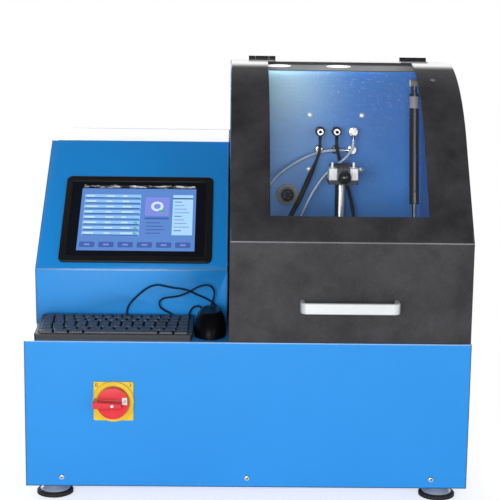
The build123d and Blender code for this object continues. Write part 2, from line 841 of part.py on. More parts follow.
# Drip tray, a shallow steel pan lying on the chamber floor.
with BuildPart() as drip_tray:
    tray_low = (tub_left_x + tray_gap, tub_front_y + tray_gap, chamber_floor_z)
    tray_high = (tub_right_x - tray_gap, tub_back_y - tray_gap, chamber_floor_z + tray_height)
    box_between(tray_low, tray_high)
    box_between(
        (tray_low[0] + tray_sheet, tray_low[1] + tray_sheet, tray_floor_z),
        (tray_high[0] - tray_sheet, tray_high[1] - tray_sheet, tray_high[2] + overrun),
        Mode.SUBTRACT,
    )
save(drip_tray, "drip_tray")


def stub(x, y_low, y_high, z, radius):
    """A round bar along Y."""
    with Locations((x, (y_low + y_high) / 2, z)):
        Cylinder(radius, y_high - y_low, rotation=(90, 0, 0))


# Quick couplers through the chamber's back panel: long ones with elbows above, short ones below,
# and four elbows low on the panel that take the hoses' other ends.
elbow_y = tub_back_y - coupler_length
side_elbow_y = tub_back_y - side_elbow_reach
with BuildPart() as coupler_bodies:
    for x, z, row, column in coupler_places:
        with BuildSketch(Plane.XZ.offset(-tub_back_y)):
            with Locations((x, z)):
                RegularPolygon(coupler_nut_radius, 6)
        extrude(amount=coupler_nut_length)
        stub(x, tub_back_y, tub_back_y + coupler_thread, z, coupler_radius)
        if row == 0:
            stub(x, elbow_y - elbow_barb_radius, tub_back_y, z, coupler_radius)
            with Locations((x, elbow_y + elbow_barb_radius, z - elbow_reach / 2)):
                Cylinder(elbow_barb_radius, elbow_reach)
        elif column < 2:
            stub(x, tub_back_y - coupler_short_length, tub_back_y, z, coupler_radius)
        else:
            stub(x, side_elbow_y - elbow_barb_radius, tub_back_y, z, coupler_radius)
            with Locations((x - elbow_reach / 2, side_elbow_y + elbow_barb_radius, z)):
                Cylinder(elbow_barb_radius, elbow_reach, rotation=(0, 90, 0))
    for x in fitting_places_x:
        with BuildSketch(Plane.XZ.offset(-tub_back_y)):
            with Locations((x, fitting_z)):
                RegularPolygon(coupler_nut_radius, 6)
        extrude(amount=coupler_nut_length)
        stub(x, elbow_y - elbow_barb_radius, tub_back_y + coupler_thread, fitting_z, coupler_radius)
        with Locations((x, elbow_y + elbow_barb_radius, fitting_z + fitting_rise / 2)):
            Cylinder(elbow_barb_radius, fitting_rise)
save(coupler_bodies, "coupler_bodies")

# Release sleeves of the three upper couplers, which slide towards the panel.
with BuildPart() as coupler_sleeves:
    sleeve_front_y = tub_back_y - coupler_nut_length - sleeve_offset - sleeve_length + sleeve_travel
    for x, z, row, column in coupler_places:
        if row == 0:
            with BuildSketch(Plane.XZ.offset(-sleeve_front_y)):
                with Locations((x, z)):
                    Circle(sleeve_radius)
                    Circle(coupler_radius + running_fit, mode=Mode.SUBTRACT)
            extrude(amount=-sleeve_length)
save(coupler_sleeves, "coupler_sleeves")

# Round signal socket on the back panel: flanged shell, dark insert and five contacts.
with BuildPart() as signal_socket:
    socket_z = deck_z + socket_height
    stub(socket_x, tub_back_y - socket_flange, tub_back_y, socket_z, socket_flange_radius)
    stub(socket_x, tub_back_y - socket_shell_length, tub_back_y + socket_tail, socket_z, socket_shell_radius)
    with BuildSketch(Plane.XZ.offset(-tub_back_y + socket_shell_length)):
        with Locations((socket_x, socket_z)):
            Circle(socket_shell_radius - socket_shell_wall)
    extrude(amount=-(socket_shell_length - socket_flange), mode=Mode.SUBTRACT)
    with BuildSketch(Plane.XZ.offset(-tub_back_y + socket_flange)):
        with Locations((socket_x, socket_z)):
            with PolarLocations(socket_pin_ring, socket_pin_count):
                Circle(socket_pin_radius)
    extrude(amount=socket_shell_length / 2)
save(signal_socket, "signal_socket")

# Clamp post: a chromed bar on a round foot, standing on the tray.
post_y = front_y + clamp_front + clamp_yoke_depth + clamp_carrier_depth / 2
with BuildPart() as clamp_post:
    with Locations((clamp_x, post_y, tray_floor_z + post_flange / 2)):
        Cylinder(post_flange_radius, post_flange)
    with Locations((clamp_x, post_y, tray_floor_z + post_height / 2)):
        Cylinder(post_radius, post_height)
    chamfer(clamp_post.edges().group_by(Axis.Z)[-1], clamp_edge)
save(clamp_post, "clamp_post")

# Clamp head: a black plate with a bored carrier behind it that slides on the post.
clamp_low_y = front_y + clamp_front
clamp_z = deck_z + clamp_plate_height
yoke_z = clamp_z + clamp_plate
yoke_back_y = clamp_low_y + clamp_yoke_depth
pocket_half = clamp_width / 2 - clamp_pillar
pocket_low_y = clamp_low_y + clamp_wall
pocket_high_y = yoke_back_y - clamp_wall / 2
with BuildPart() as clamp_head:
    box_between(
        (clamp_x - clamp_width / 2, clamp_low_y, clamp_z),
        (clamp_x + clamp_width / 2, yoke_back_y + clamp_carrier_depth, yoke_z),
    )
    carrier_half = clamp_carrier_width / 2
    box_between(
        (clamp_x - carrier_half, yoke_back_y, clamp_z),
        (clamp_x + carrier_half, yoke_back_y + clamp_carrier_depth, clamp_z + clamp_carrier_height),
    )
    chamfer(clamp_head.edges().filter_by(Axis.Z), clamp_edge)
    with Locations((clamp_x, post_y, clamp_z)):
        Cylinder(post_radius + running_fit, clamp_carrier_height * 4, mode=Mode.SUBTRACT)
    box_between(
        (clamp_x - pocket_half, pocket_low_y, clamp_z - overrun),
        (clamp_x + pocket_half, pocket_high_y, yoke_z + overrun),
        Mode.SUBTRACT,
    )
save(clamp_head, "clamp_head")

# Clamp yoke: the aluminium frame round the injector's pocket, with its cap screws and dowels.
yoke_top_z = yoke_z + clamp_yoke_height
knob_axis_z = yoke_z + clamp_yoke_height / 2 - ball_drop
with BuildPart() as clamp_yoke:
    box_between(
        (clamp_x - clamp_width / 2, clamp_low_y, yoke_z),
        (clamp_x + clamp_width / 2, yoke_back_y, yoke_top_z),
    )
    chamfer(clamp_yoke.edges().filter_by(Axis.Z), clamp_edge)
    box_between(
        (clamp_x - pocket_half, pocket_low_y, yoke_z - overrun),
        (clamp_x + pocket_half, pocket_high_y, yoke_top_z + overrun),
        Mode.SUBTRACT,
    )
    with Locations((clamp_x, clamp_low_y, knob_axis_z)):
        Cylinder(clamp_screw_radius + running_fit, clamp_wall * 3, rotation=(90, 0, 0), mode=Mode.SUBTRACT)
    bolt_x = clamp_width / 2 - clamp_pillar / 2
    bolt_y = (clamp_low_y + pocket_high_y) / 2
    for x in (clamp_x - bolt_x, clamp_x + bolt_x):
        with Locations((x, bolt_y, yoke_top_z + clamp_bolt_height / 2)):
            Cylinder(clamp_bolt_radius, clamp_bolt_height)
        with Locations((x, bolt_y, yoke_top_z + clamp_washer_height / 2)):
            Cylinder(clamp_washer_radius, clamp_washer_height)
    pin_y = clamp_low_y + clamp_wall / 2
    pin_z = yoke_top_z + clamp_small_bolt_height / 2
    with Locations(*[(clamp_x + side * clamp_small_bolt_spread, pin_y, pin_z) for side in (-1, 1)]):
        Cylinder(clamp_small_bolt_radius, clamp_small_bolt_height)
save(clamp_yoke, "clamp_yoke")

# Moving jaw with its V notch, between the yoke's walls.
jaw_front_y = pocket_low_y + seat_gap
with BuildPart() as clamp_jaw:
    box_between(
        (clamp_x - pocket_half + running_fit, jaw_front_y, yoke_z),
        (clamp_x + pocket_half - running_fit, jaw_front_y + jaw_depth, yoke_top_z - clamp_edge),
    )
    with BuildSketch(Plane.XY.offset(yoke_z)):
        with BuildLine():
            Polyline(
                (clamp_x - jaw_notch, jaw_front_y + jaw_depth),
                (clamp_x, jaw_front_y + jaw_depth / 3),
                (clamp_x + jaw_notch, jaw_front_y + jaw_depth),
                close=True,
            )
        make_face()
    extrude(amount=clamp_yoke_height, mode=Mode.SUBTRACT)
save(clamp_jaw, "clamp_jaw")

# Clamp screw with its black ball knob.
ball_y = clamp_low_y - ball_radius - jaw_travel - clamp_edge * 2
with BuildPart() as clamp_knob:
    with Locations((clamp_x, ball_y, knob_axis_z)):
        Sphere(ball_radius)
    stub(clamp_x, ball_y, jaw_front_y, knob_axis_z, clamp_screw_radius)
save(clamp_knob, "clamp_knob")

# Spray chamber below the clamp, which catches what the injector sprays.
spray_y = (pocket_low_y + pocket_high_y) / 2
with BuildPart() as spray_chamber:
    with Locations((clamp_x, spray_y, tray_floor_z + spray_height / 2)):
        Cylinder(spray_radius, spray_height)
    with Locations((clamp_x, spray_y, tray_floor_z + spray_height + spray_neck_height / 2)):
        Cylinder(spray_neck_radius, spray_neck_height)
    box_between(
        (clamp_x - spray_radius, post_y - post_flange_radius - seat_gap, tray_floor_z - overrun),
        (clamp_x + spray_radius, spray_y + spray_radius + overrun, tray_floor_z + spray_height + overrun * 4),
        Mode.SUBTRACT,
    )
    with Locations((clamp_x, spray_y, tray_floor_z + spray_floor + spray_height)):
        Cylinder(spray_bore, spray_height * 2, mode=Mode.SUBTRACT)
save(spray_chamber, "spray_chamber")

# Hood shell: one folded and rolled sheet with welded side cheeks and the window cut-out.
window_low_x = hood_left_x + window_left
window_high_x = hood_right_x - window_right
window_width = window_high_x - window_low_x
with BuildPart() as hood_shell:
    outer = hood_points(0, hood_bottom_z)
    with BuildSketch(Plane.YZ.offset(hood_left_x)):
        with BuildLine():
            hood_line(0, hood_bottom_z, hood_rear_y)
            Polyline((hood_rear_y, hood_top_z), (hood_rear_y, hood_bottom_z), outer["foot"])
        make_face()
    extrude(amount=hood_width)
    inner = hood_points(sheet, hood_bottom_z - overrun)
    with BuildSketch(Plane.YZ.offset(hood_left_x + sheet)):
        with BuildLine():
            hood_line(sheet, hood_bottom_z - overrun, hood_rear_y + overrun)
            Polyline(
                (hood_rear_y + overrun, hood_top_z - sheet),
                (hood_rear_y + overrun, hood_bottom_z - overrun),
                inner["foot"],
            )
        make_face()
    extrude(amount=hood_width - 2 * sheet, mode=Mode.SUBTRACT)
    with BuildSketch(Plane.YZ.offset(window_low_x)):
        far_in = hood_points(sheet * 4, hood_bottom_z)
        far_out = hood_points(-sheet * 4, hood_bottom_z)
        side_outline([
            slope_point(window_start, sheet * 4),
            slope_point(window_start, -sheet * 4),
            (front_y, hood_top_z),
            (far_out["window_edge"][0], hood_top_z + overrun * 2),
            far_out["window_edge"],
            far_in["window_edge"],
            far_in["arc_end"],
            far_in["arc_middle"],
            far_in["slope_end"],
        ])
    extrude(amount=window_width, mode=Mode.SUBTRACT)
save(hood_shell, "hood_shell")

# Clear window sheet, bent to the hood's curve and fixed behind the cut-out.
with BuildPart() as hood_window:
    near = hood_points(sheet + seat_gap, hood_bottom_z)
    far = hood_points(sheet + seat_gap + window_thickness, hood_bottom_z)
    with BuildSketch(Plane.YZ.offset(window_low_x - window_margin)):
        with BuildLine():
            start = window_start - window_margin
            Line(slope_point(start, sheet + seat_gap), near["slope_end"])
            ThreePointArc(near["slope_end"], near["arc_middle"], near["arc_end"])
            ThreePointArc(near["arc_end"], near["round_middle"], near["round_end"])
            rear_edge = near["round_end"][0] + window_lap
            Polyline(near["round_end"], (rear_edge, near["round_end"][1]), (rear_edge, far["round_end"][1]))
            Line((rear_edge, far["round_end"][1]), far["round_end"])
            ThreePointArc(far["round_end"], far["round_middle"], far["arc_end"])
            ThreePointArc(far["arc_end"], far["arc_middle"], far["slope_end"])
            Polyline(
                far["slope_end"],
                slope_point(start, sheet + seat_gap + window_thickness),
                slope_point(start, sheet + seat_gap),
            )
        make_face()
    extrude(amount=window_width + 2 * window_margin)
save(hood_window, "hood_window")

# Bow handle in flat aluminium, low on the hood's upright front.
handle_x = hood_middle_x + handle_shift
handle_z = hood_crease_z - handle_drop
handle_half = handle_length / 2
with BuildPart() as hood_handle:
    with BuildSketch(Plane.XY.offset(handle_z - handle_bar / 2)):
        with Locations((handle_x, front_y - handle_reach / 2)):
            Rectangle(handle_length, handle_reach)
    extrude(amount=handle_bar)
    front_corners = hood_handle.edges().filter_by(Axis.Z).group_by(Axis.Y)[0]
    fillet(front_corners, handle_corner)
    with BuildSketch(Plane.XY.offset(handle_z - handle_bar)):
        with Locations((handle_x, front_y - handle_reach / 2 + handle_thickness)):
            RectangleRounded(
                handle_length - 2 * handle_thickness,
                handle_reach,
                handle_corner - handle_thickness,
            )
    extrude(amount=handle_bar * 2, mode=Mode.SUBTRACT)
save(hood_handle, "hood_handle")

# Hinges: the hood's leaf carries the middle knuckle, the body's leaf the two outer ones.
hinge_places = [hood_left_x + hinge_left_inset, hood_right_x - hinge_right_inset]
middle_knuckle = hinge_width / 2
outer_knuckle = (hinge_width - middle_knuckle) / 2 - hinge_side_gap
leaf_top_z = hood_top_z + hinge_leaf


def knuckle(x, length):
    """A hinge barrel along X, bored for the pin."""
    with Locations((x, hinge_y, hinge_z)):
        Cylinder(hinge_knuckle_radius, length, rotation=(0, 90, 0))


def pin_bore(x):
    bore = hinge_pin_radius + running_fit
    with Locations((x, hinge_y, hinge_z)):
        Cylinder(bore, hinge_width + overrun, rotation=(0, 90, 0), mode=Mode.SUBTRACT)


with BuildPart() as hinge_leaves_hood:
    for x in hinge_places:
        knuckle(x, middle_knuckle)
        box_between(
            (x - hinge_width / 2, hinge_y - hinge_knuckle_radius - hinge_leaf_length, hood_top_z),
            (x + hinge_width / 2, hinge_y - hinge_knuckle_radius - hinge_side_gap, leaf_top_z),
        )
        box_between(
            (x - middle_knuckle / 2, hinge_y - hinge_knuckle_radius - hinge_leaf, hood_top_z),
            (x + middle_knuckle / 2, hinge_y - hinge_knuckle_radius / 2, leaf_top_z),
        )
        pin_bore(x)
save(hinge_leaves_hood, "hinge_leaves_hood")

with BuildPart() as hinge_leaves_body:
    for x in hinge_places:
        for side in (-1, 1):
            place = x + side * (hinge_width - outer_knuckle) / 2
            knuckle(place, outer_knuckle)
            box_between(
                (place - outer_knuckle / 2, hinge_y + hinge_knuckle_radius / 2, hood_top_z),
                (place + outer_knuckle / 2, hinge_y + hinge_knuckle_radius + hinge_leaf, leaf_top_z),
            )
        box_between(
            (x - hinge_width / 2, hinge_y + hinge_knuckle_radius + hinge_side_gap, hood_top_z),
            (x + hinge_width / 2, hinge_y + hinge_knuckle_radius + hinge_leaf_length, leaf_top_z),
        )
        pin_bore(x)
save(hinge_leaves_body, "hinge_leaves_body")

with BuildPart() as hinge_pins:
    with Locations(*[(x, hinge_y, hinge_z) for x in hinge_places]):
        Cylinder(hinge_pin_radius, hinge_width, rotation=(0, 90, 0))
save(hinge_pins, "hinge_pins")

# Gas strut between the hood and the chamber's right wall.
strut_top = (front_y + strut_top_depth, deck_z + strut_top_height)
strut_foot = (front_y + strut_foot_depth, deck_z + strut_foot_height)
strut_run = (strut_foot[0] - strut_top[0], strut_foot[1] - strut_top[1])
strut_length = hypot(*strut_run)
strut_way = (0, strut_run[0] / strut_length, strut_run[1] / strut_length)


def strut_plane(along):
    """The plane square to the strut at a distance below its upper pin."""
    origin = (strut_x, strut_top[0] + strut_way[1] * along, strut_top[1] + strut_way[2] * along)
    return Plane(origin=origin, x_dir=(1, 0, 0), z_dir=strut_way)


tube_start = strut_eye_radius + strut_stem
tube_end = tube_start + strut_tube_length
with BuildPart() as strut_tube:
    with Locations((strut_x, strut_top[0], strut_top[1])):
        Cylinder(strut_eye_radius, strut_eye_width, rotation=(0, 90, 0))
    with BuildSketch(strut_plane(strut_eye_radius / 2)):
        Circle(strut_stem_radius)
    extrude(amount=tube_start)
    with BuildSketch(strut_plane(tube_start)):
        Circle(strut_tube_radius)
    extrude(amount=strut_tube_length)
    chamfer(strut_tube.edges().filter_by(GeomType.CIRCLE).sort_by(Axis.Z)[0], strut_stem_radius / 4)
    with Locations((strut_x, strut_top[0], strut_top[1])):
        Cylinder(strut_pin_radius + running_fit, strut_eye_width * 2, rotation=(0, 90, 0), mode=Mode.SUBTRACT)
    with BuildSketch(strut_plane(tube_end)):
        Circle(strut_rod_radius + running_fit)
    extrude(amount=-(strut_tube_length - strut_cap), mode=Mode.SUBTRACT)
save(strut_tube, "strut_tube")

with BuildPart() as strut_rod:
    with BuildSketch(strut_plane(tube_end - strut_rod_inside)):
        Circle(strut_rod_radius)
    extrude(amount=strut_length - tube_end + strut_rod_inside)
    with BuildSketch(strut_plane(strut_length - strut_foot_stem)):
        Circle(strut_stem_radius)
    extrude(amount=strut_foot_stem)
    with Locations((strut_x, strut_foot[0], strut_foot[1])):
        Cylinder(strut_eye_radius, strut_eye_width, rotation=(0, 90, 0))
save(strut_rod, "strut_rod")

# Upper bracket inside the hood: a foot under the hood's skin, a web beside the strut's eye and its pin.
web_x = strut_x + strut_eye_width / 2 + seat_gap + strut_pin_head_width
foot_heading = radians(bracket_heading)


def skin_point(heading, inset):
    """A point on the hood's long arc at a heading, moved inwards."""
    a = radians(hood_slope_angle)
    centre_y = front_y + hood_slope_length * cos(a) + hood_arc_radius * sin(a)
    centre_z = hood_crease_z + hood_slope_length * sin(a) - hood_arc_radius * cos(a)
    reach = hood_arc_radius - inset
    return (centre_y - reach * sin(heading), centre_z + reach * cos(heading))


bracket_low = foot_heading + bracket_length / hood_arc_radius / 2
bracket_high = foot_heading - bracket_length / hood_arc_radius / 2
bracket_left_x = window_high_x + window_margin + seat_gap
with BuildPart() as strut_bracket_top:
    with BuildSketch(Plane.YZ.offset(bracket_left_x)):
        with BuildLine():
            ThreePointArc(
                skin_point(bracket_low, sheet),
                skin_point(foot_heading, sheet),
                skin_point(bracket_high, sheet),
            )
            Line(skin_point(bracket_high, sheet), skin_point(bracket_high, sheet + bracket_plate))
            ThreePointArc(
                skin_point(bracket_high, sheet + bracket_plate),
                skin_point(foot_heading, sheet + bracket_plate),
                skin_point(bracket_low, sheet + bracket_plate),
            )
            Line(skin_point(bracket_low, sheet + bracket_plate), skin_point(bracket_low, sheet))
        make_face()
    extrude(amount=bracket_width)
    with BuildSketch(Plane.YZ.offset(bracket_left_x)):
        side_outline([
            skin_point(bracket_low, sheet + bracket_plate / 2),
            skin_point(bracket_high, sheet + bracket_plate / 2),
            (strut_top[0] + strut_pin_head, strut_top[1] - strut_pin_head),
            (strut_top[0] - strut_pin_head, strut_top[1] - strut_pin_head),
        ])
    extrude(amount=bracket_plate)
    with BuildSketch(Plane.YZ.offset(web_x)):
        with Locations((strut_top[0], strut_top[1])):
            Circle(strut_pin_head)
    extrude(amount=bracket_left_x - web_x)
    with BuildSketch(Plane.YZ.offset(strut_x - strut_eye_width / 2 - seat_gap - strut_pin_head_width)):
        with Locations((strut_top[0], strut_top[1])):
            Circle(strut_pin_radius)
    extrude(amount=web_x - strut_x + strut_eye_width / 2 + seat_gap + strut_pin_head_width)
    with BuildSketch(Plane.YZ.offset(strut_x - strut_eye_width / 2 - seat_gap - strut_pin_head_width)):
        with Locations((strut_top[0], strut_top[1])):
            Circle(strut_pin_head)
    extrude(amount=strut_pin_head_width)
save(strut_bracket_top, "strut_bracket_top")

# Lower bracket: a plate on the chamber's right wall with a stud that ends just beside the strut's eye.
with BuildPart() as strut_bracket_foot:
    box_between(
        (tub_right_x - bracket_plate, strut_foot[0] - bracket_arm / 2, strut_foot[1] - bracket_length / 2),
        (tub_right_x, strut_foot[0] + bracket_arm / 2, strut_foot[1] + bracket_length / 2),
    )
    stud_low_x = strut_x + strut_eye_width / 2 + seat_gap
    with BuildSketch(Plane.YZ.offset(stud_low_x)):
        with Locations((strut_foot[0], strut_foot[1])):
            Circle(strut_pin_radius)
    extrude(amount=tub_right_x - stud_low_x)
save(strut_bracket_foot, "strut_bracket_foot")

# Screws of the hood: two behind the handle and one at the strut's bracket.
with BuildPart() as hood_screws:
    for side in (-1, 1):
        x = handle_x + side * (handle_half - handle_thickness / 2)
        stub(x, front_y + sheet, front_y + sheet + screw_head_height, handle_z, screw_head_radius)
    heading_plane = Plane(
        origin=(bracket_left_x + bracket_width / 2, *skin_point(foot_heading, 0)),
        x_dir=(1, 0, 0),
        z_dir=(0, -sin(foot_heading), cos(foot_heading)),
    )
    with BuildSketch(heading_plane):
        Circle(screw_head_radius)
    extrude(amount=screw_head_height / 2)
save(hood_screws, "hood_screws")

# Screen: bezel frame on the slope, touch glass in its rebate and the body behind the panel.
with BuildPart() as screen_bezel:
    with BuildSketch(slope_plane):
        with Locations((0, bezel_middle)):
            RectangleRounded(bezel_width, bezel_height, bezel_corner)
    extrude(amount=bezel_thickness)
    chamfer(screen_bezel.faces().sort_by(SortBy.AREA)[-1].edges(), screen_edge)
    with BuildSketch(slope_plane):
        with Locations((0, bezel_middle)):
            Rectangle(bezel_width - 2 * bezel_frame, bezel_height - 2 * bezel_frame)
    extrude(amount=bezel_thickness * 2, mode=Mode.SUBTRACT)
save(screen_bezel, "screen_bezel")

glass_back = bezel_thickness - glass_recess - glass_thickness
with BuildPart() as screen_glass:
    with BuildSketch(slope_plane.offset(glass_back)):
        with Locations((0, bezel_middle)):
            Rectangle(bezel_width - 2 * bezel_frame, bezel_height - 2 * bezel_frame)
    extrude(amount=glass_thickness)
save(screen_glass, "screen_glass")

with BuildPart() as screen_body:
    body_inset = 2 * bezel_frame + screen_edge
    with BuildSketch(slope_plane.offset(glass_back)):
        with Locations((0, bezel_middle)):
            Rectangle(bezel_width - body_inset, bezel_height - body_inset)
    extrude(amount=-screen_body_depth)
save(screen_body, "screen_body")

# Main switch: yellow plate with its round collar, red knob with a bar, contact block behind the panel.
plate_y = front_y - switch_plate
collar_y = plate_y - switch_ring
knob_back_y = collar_y - knob_gap
with BuildPart() as switch_plate_piece:
    with BuildSketch(Plane.XZ.offset(-front_y)):
        with Locations((switch_x, switch_z)):
            RectangleRounded(switch_plate_size, switch_plate_size, switch_plate_corner)
    extrude(amount=switch_plate)
    with BuildSketch(Plane.XZ.offset(-front_y)):
        with Locations((switch_x, switch_z)):
            Circle(switch_ring_radius)
    extrude(amount=switch_plate + switch_ring)
    with Locations((switch_x, front_y, switch_z)):
        Cylinder(spindle_radius + running_fit, switch_plate * 8, rotation=(90, 0, 0), mode=Mode.SUBTRACT)
save(switch_plate_piece, "switch_plate")

with BuildPart() as switch_knob:
    with BuildSketch(Plane.XZ.offset(-knob_back_y)):
        with Locations((switch_x, switch_z)):
            Circle(knob_radius)
    extrude(amount=knob_disc, taper=knob_edge * 2)
    with BuildSketch(Plane.XZ.offset(-knob_back_y)):
        with BuildLine():
            Polyline(
                (switch_x - knob_bar_left, switch_z - knob_bar_width / 2),
                (switch_x - knob_bar_left, switch_z + knob_bar_width / 2),
                (switch_x + knob_bar_right, switch_z + knob_bar_tip / 2),
                (switch_x + knob_bar_right, switch_z - knob_bar_tip / 2),
                close=True,
            )
        make_face()
    extrude(amount=knob_disc + knob_bar_height)
    fillet(switch_knob.faces().sort_by(Axis.Y)[0].edges(), knob_edge)
    stub(switch_x, knob_back_y, front_y + sheet + switch_block_depth / 4, switch_z, spindle_radius)
save(switch_knob, "switch_knob")

with BuildPart() as switch_block:
    block_half = switch_block_size / 2
    box_between(
        (switch_x - block_half, front_y + sheet, switch_z - block_half),
        (switch_x + block_half, front_y + sheet + switch_block_depth, switch_z + block_half),
    )
    with Locations((switch_x, front_y + sheet, switch_z)):
        Cylinder(spindle_radius + running_fit, switch_block_depth, rotation=(90, 0, 0), mode=Mode.SUBTRACT)
save(switch_block, "switch_block")

# Keyboard: a wedge with a recess for the keys and one groove per row for their stems.
keyboard_x = -half_width + keyboard_left
keyboard_y = front_y + keyboard_front
keyboard_width = mouse_x - mouse_width / 2 - keyboard_mouse_gap - keyboard_x
keyboard_tilt = degrees(atan2(keyboard_back_height - keyboard_front_height, keyboard_depth))
key_plane = Plane(
    origin=(keyboard_x, keyboard_y, deck_z + keyboard_front_height),
    x_dir=(1, 0, 0),
    z_dir=(0, -sin(radians(keyboard_tilt)), cos(radians(keyboard_tilt))),
)
key_area_width = keyboard_width - 2 * key_margin_side
key_area_depth = keyboard_depth / cos(radians(keyboard_tilt)) - key_margin_front - key_margin_back
key_pitch_y = key_area_depth / key_row_count
key_rows = []
row_counts = [10, 12, 13, 13, 14, 15]
for row, count in enumerate(row_counts):
    middle_y = key_margin_front + (row + 0.5) * key_pitch_y
    if row == 0:
        unit = key_area_width / count
        widths = [unit] * 3 + [unit * space_bar_keys] + [unit] * (count - 3 - space_bar_keys)
    else:
        unit = key_area_width / count
        widths = [unit] * count
    left = key_margin_side
    keys = []
    for width in widths:
        keys.append((left + width / 2, middle_y, width - key_gap))
        left += width
    key_rows.append(keys)
key_size_y = key_pitch_y - key_gap

with BuildPart() as keyboard_body:
    with BuildSketch(Plane.XY.offset(deck_z)):
        with Locations((keyboard_x + keyboard_width / 2, keyboard_y + keyboard_depth / 2)):
            RectangleRounded(keyboard_width, keyboard_depth, keyboard_corner)
    extrude(amount=keyboard_back_height)
    with BuildSketch(key_plane):
        with Locations((keyboard_width / 2, keyboard_depth / 2)):
            Rectangle(keyboard_width * 2, keyboard_depth * 2)
    extrude(amount=keyboard_back_height, mode=Mode.SUBTRACT)
    with BuildSketch(key_plane):
        with Locations((keyboard_width / 2, key_margin_front + key_area_depth / 2)):
            Rectangle(key_area_width, key_area_depth)
    extrude(amount=-key_recess, mode=Mode.SUBTRACT)
    with BuildSketch(key_plane.offset(-key_recess)):
        for keys in key_rows:
            with Locations((keyboard_width / 2, keys[0][1])):
                Rectangle(key_area_width, key_stem + 2 * seat_gap)
    extrude(amount=-key_groove, mode=Mode.SUBTRACT)
    boss_x, boss_y, boss_z = keyboard_lead_route[0]
    boss_low = deck_z + keyboard_boss_low
    with Locations((boss_x, boss_y, (boss_low + boss_z) / 2)):
        Cylinder(lead_boot_radius, boss_z - boss_low)
    box_between(
        (boss_x - lead_boot_radius, keyboard_y + keyboard_depth - keyboard_corner, boss_low),
        (boss_x + lead_boot_radius, boss_y, boss_z - lead_boot_radius),
    )
save(keyboard_body, "keyboard_body")


def key_group(rows, label):
    """Key caps of some rows, each with the stem that reaches into its groove."""
    with BuildPart() as group:
        lift = key_stand - key_height
        with BuildSketch(key_plane.offset(lift)):
            for keys in rows:
                for x, y, width in keys:
                    with Locations((x, y)):
                        Rectangle(width, key_size_y)
        extrude(amount=key_height, taper=atan2(key_taper, key_height) * 180 / pi)
        with BuildSketch(key_plane.offset(lift)):
            for keys in rows:
                for x, y, width in keys:
                    with Locations((x, y)):
                        Rectangle(key_stem, key_stem)
        extrude(amount=-(key_recess + lift + key_groove - key_travel - seat_gap))
    save(group, label)


key_group(key_rows[0:5], "keys_character_rows")
key_group(key_rows[5:6], "keys_function_row")

# Mouse: a domed body, two nose buttons and a wheel. Its nose points to the console.
mouse_y = front_y + mouse_front
button_y = mouse_y + mouse_length * (1 - mouse_button_share)
button_z = deck_z + mouse_height - mouse_button_depth
wheel_y = mouse_y + mouse_length * wheel_place_share
wheel_z = deck_z + mouse_height + wheel_lift - wheel_radius
wheel_slot = wheel_width / 2 + mouse_seam

with BuildPart() as mouse_form:
    with BuildSketch(Plane.XY.offset(deck_z)):
        with Locations((mouse_x, mouse_y + mouse_length / 2)):
            Ellipse(mouse_width / 2, mouse_length / 2)
    extrude(amount=mouse_height)
    fillet(mouse_form.edges().group_by(Axis.Z)[-1], mouse_dome)


def nose_block(x_low, x_high, z_low, back):
    """A box over part of the mouse's nose."""
    nose_y = mouse_y + mouse_length + overrun
    box_between((x_low, back, z_low), (x_high, nose_y, deck_z + mouse_height + overrun))


with BuildPart() as mouse_body:
    add(mouse_form.part)
    box_between(
        (mouse_x - mouse_width, button_y, button_z),
        (mouse_x + mouse_width, mouse_y + mouse_length + overrun, deck_z + mouse_height + overrun),
        Mode.SUBTRACT,
    )
    with Locations((mouse_x, wheel_y, wheel_z)):
        Cylinder(wheel_radius + mouse_seam, wheel_slot * 2, rotation=(0, 90, 0), mode=Mode.SUBTRACT)
    for side in (-1, 1):
        with Locations((mouse_x + side * wheel_slot, wheel_y, wheel_z)):
            Cylinder(wheel_axle + running_fit, wheel_slot, rotation=(0, 90, 0), mode=Mode.SUBTRACT)
    nose = Vector(*mouse_lead_route[0])
    nose_way = (Vector(*mouse_lead_route[1]) - nose).normalized()
    with BuildSketch(Plane(origin=nose, z_dir=nose_way)):
        Circle(lead_boot_radius)
    extrude(amount=-lead_boot_length)
save(mouse_body, "mouse_body")


def mouse_button(side, label):
    with BuildPart() as block:
        inner = mouse_x + side * wheel_slot
        outer_x = mouse_x + side * mouse_width
        button_low_z = button_z + mouse_button_travel + running_fit
        nose_block(min(inner, outer_x), max(inner, outer_x), button_low_z, button_y + mouse_seam)
        add(mouse_form.part, mode=Mode.INTERSECT)
    save(block, label)


mouse_button(-1, "mouse_button_left")
mouse_button(1, "mouse_button_right")

with BuildPart() as mouse_wheel:
    with Locations((mouse_x, wheel_y, wheel_z)):
        Cylinder(wheel_radius, wheel_width, rotation=(0, 90, 0))
        Cylinder(wheel_axle, wheel_slot * 2 + wheel_slot / 2, rotation=(0, 90, 0))
save(mouse_wheel, "mouse_wheel")


def corner_radii(points):
    """Bend radius for each inner point: 0.45 of its shorter run over the tangent of half the turn."""
    radii = []
    for before, here, after in zip(points, points[1:], points[2:]):
        first = Vector(*here) - Vector(*before)
        second = Vector(*after) - Vector(*here)
        turn = radians(first.get_angle(second))
        radii.append(bend_share * min(first.length, second.length) / tan(turn / 2))
    return radii


def flexible(points, diameter, label):
    """A tube along straight runs joined by tangent arcs."""
    radii = corner_radii(points)
    with BuildPart() as tube:
        with BuildLine():
            spine = FilletPolyline(*points, radius=radii)
        with BuildSketch(Plane(origin=spine @ 0, z_dir=spine % 0)):
            Circle(diameter / 2)
        sweep()
    ratio = tube.part.volume / (pi * (diameter / 2) ** 2 * spine.length)
    print(label, "length", round(spine.length, 1), "volume ratio", round(ratio, 4))
    print("bend radii", [round(r, 1) for r in radii])
    save(tube, label)


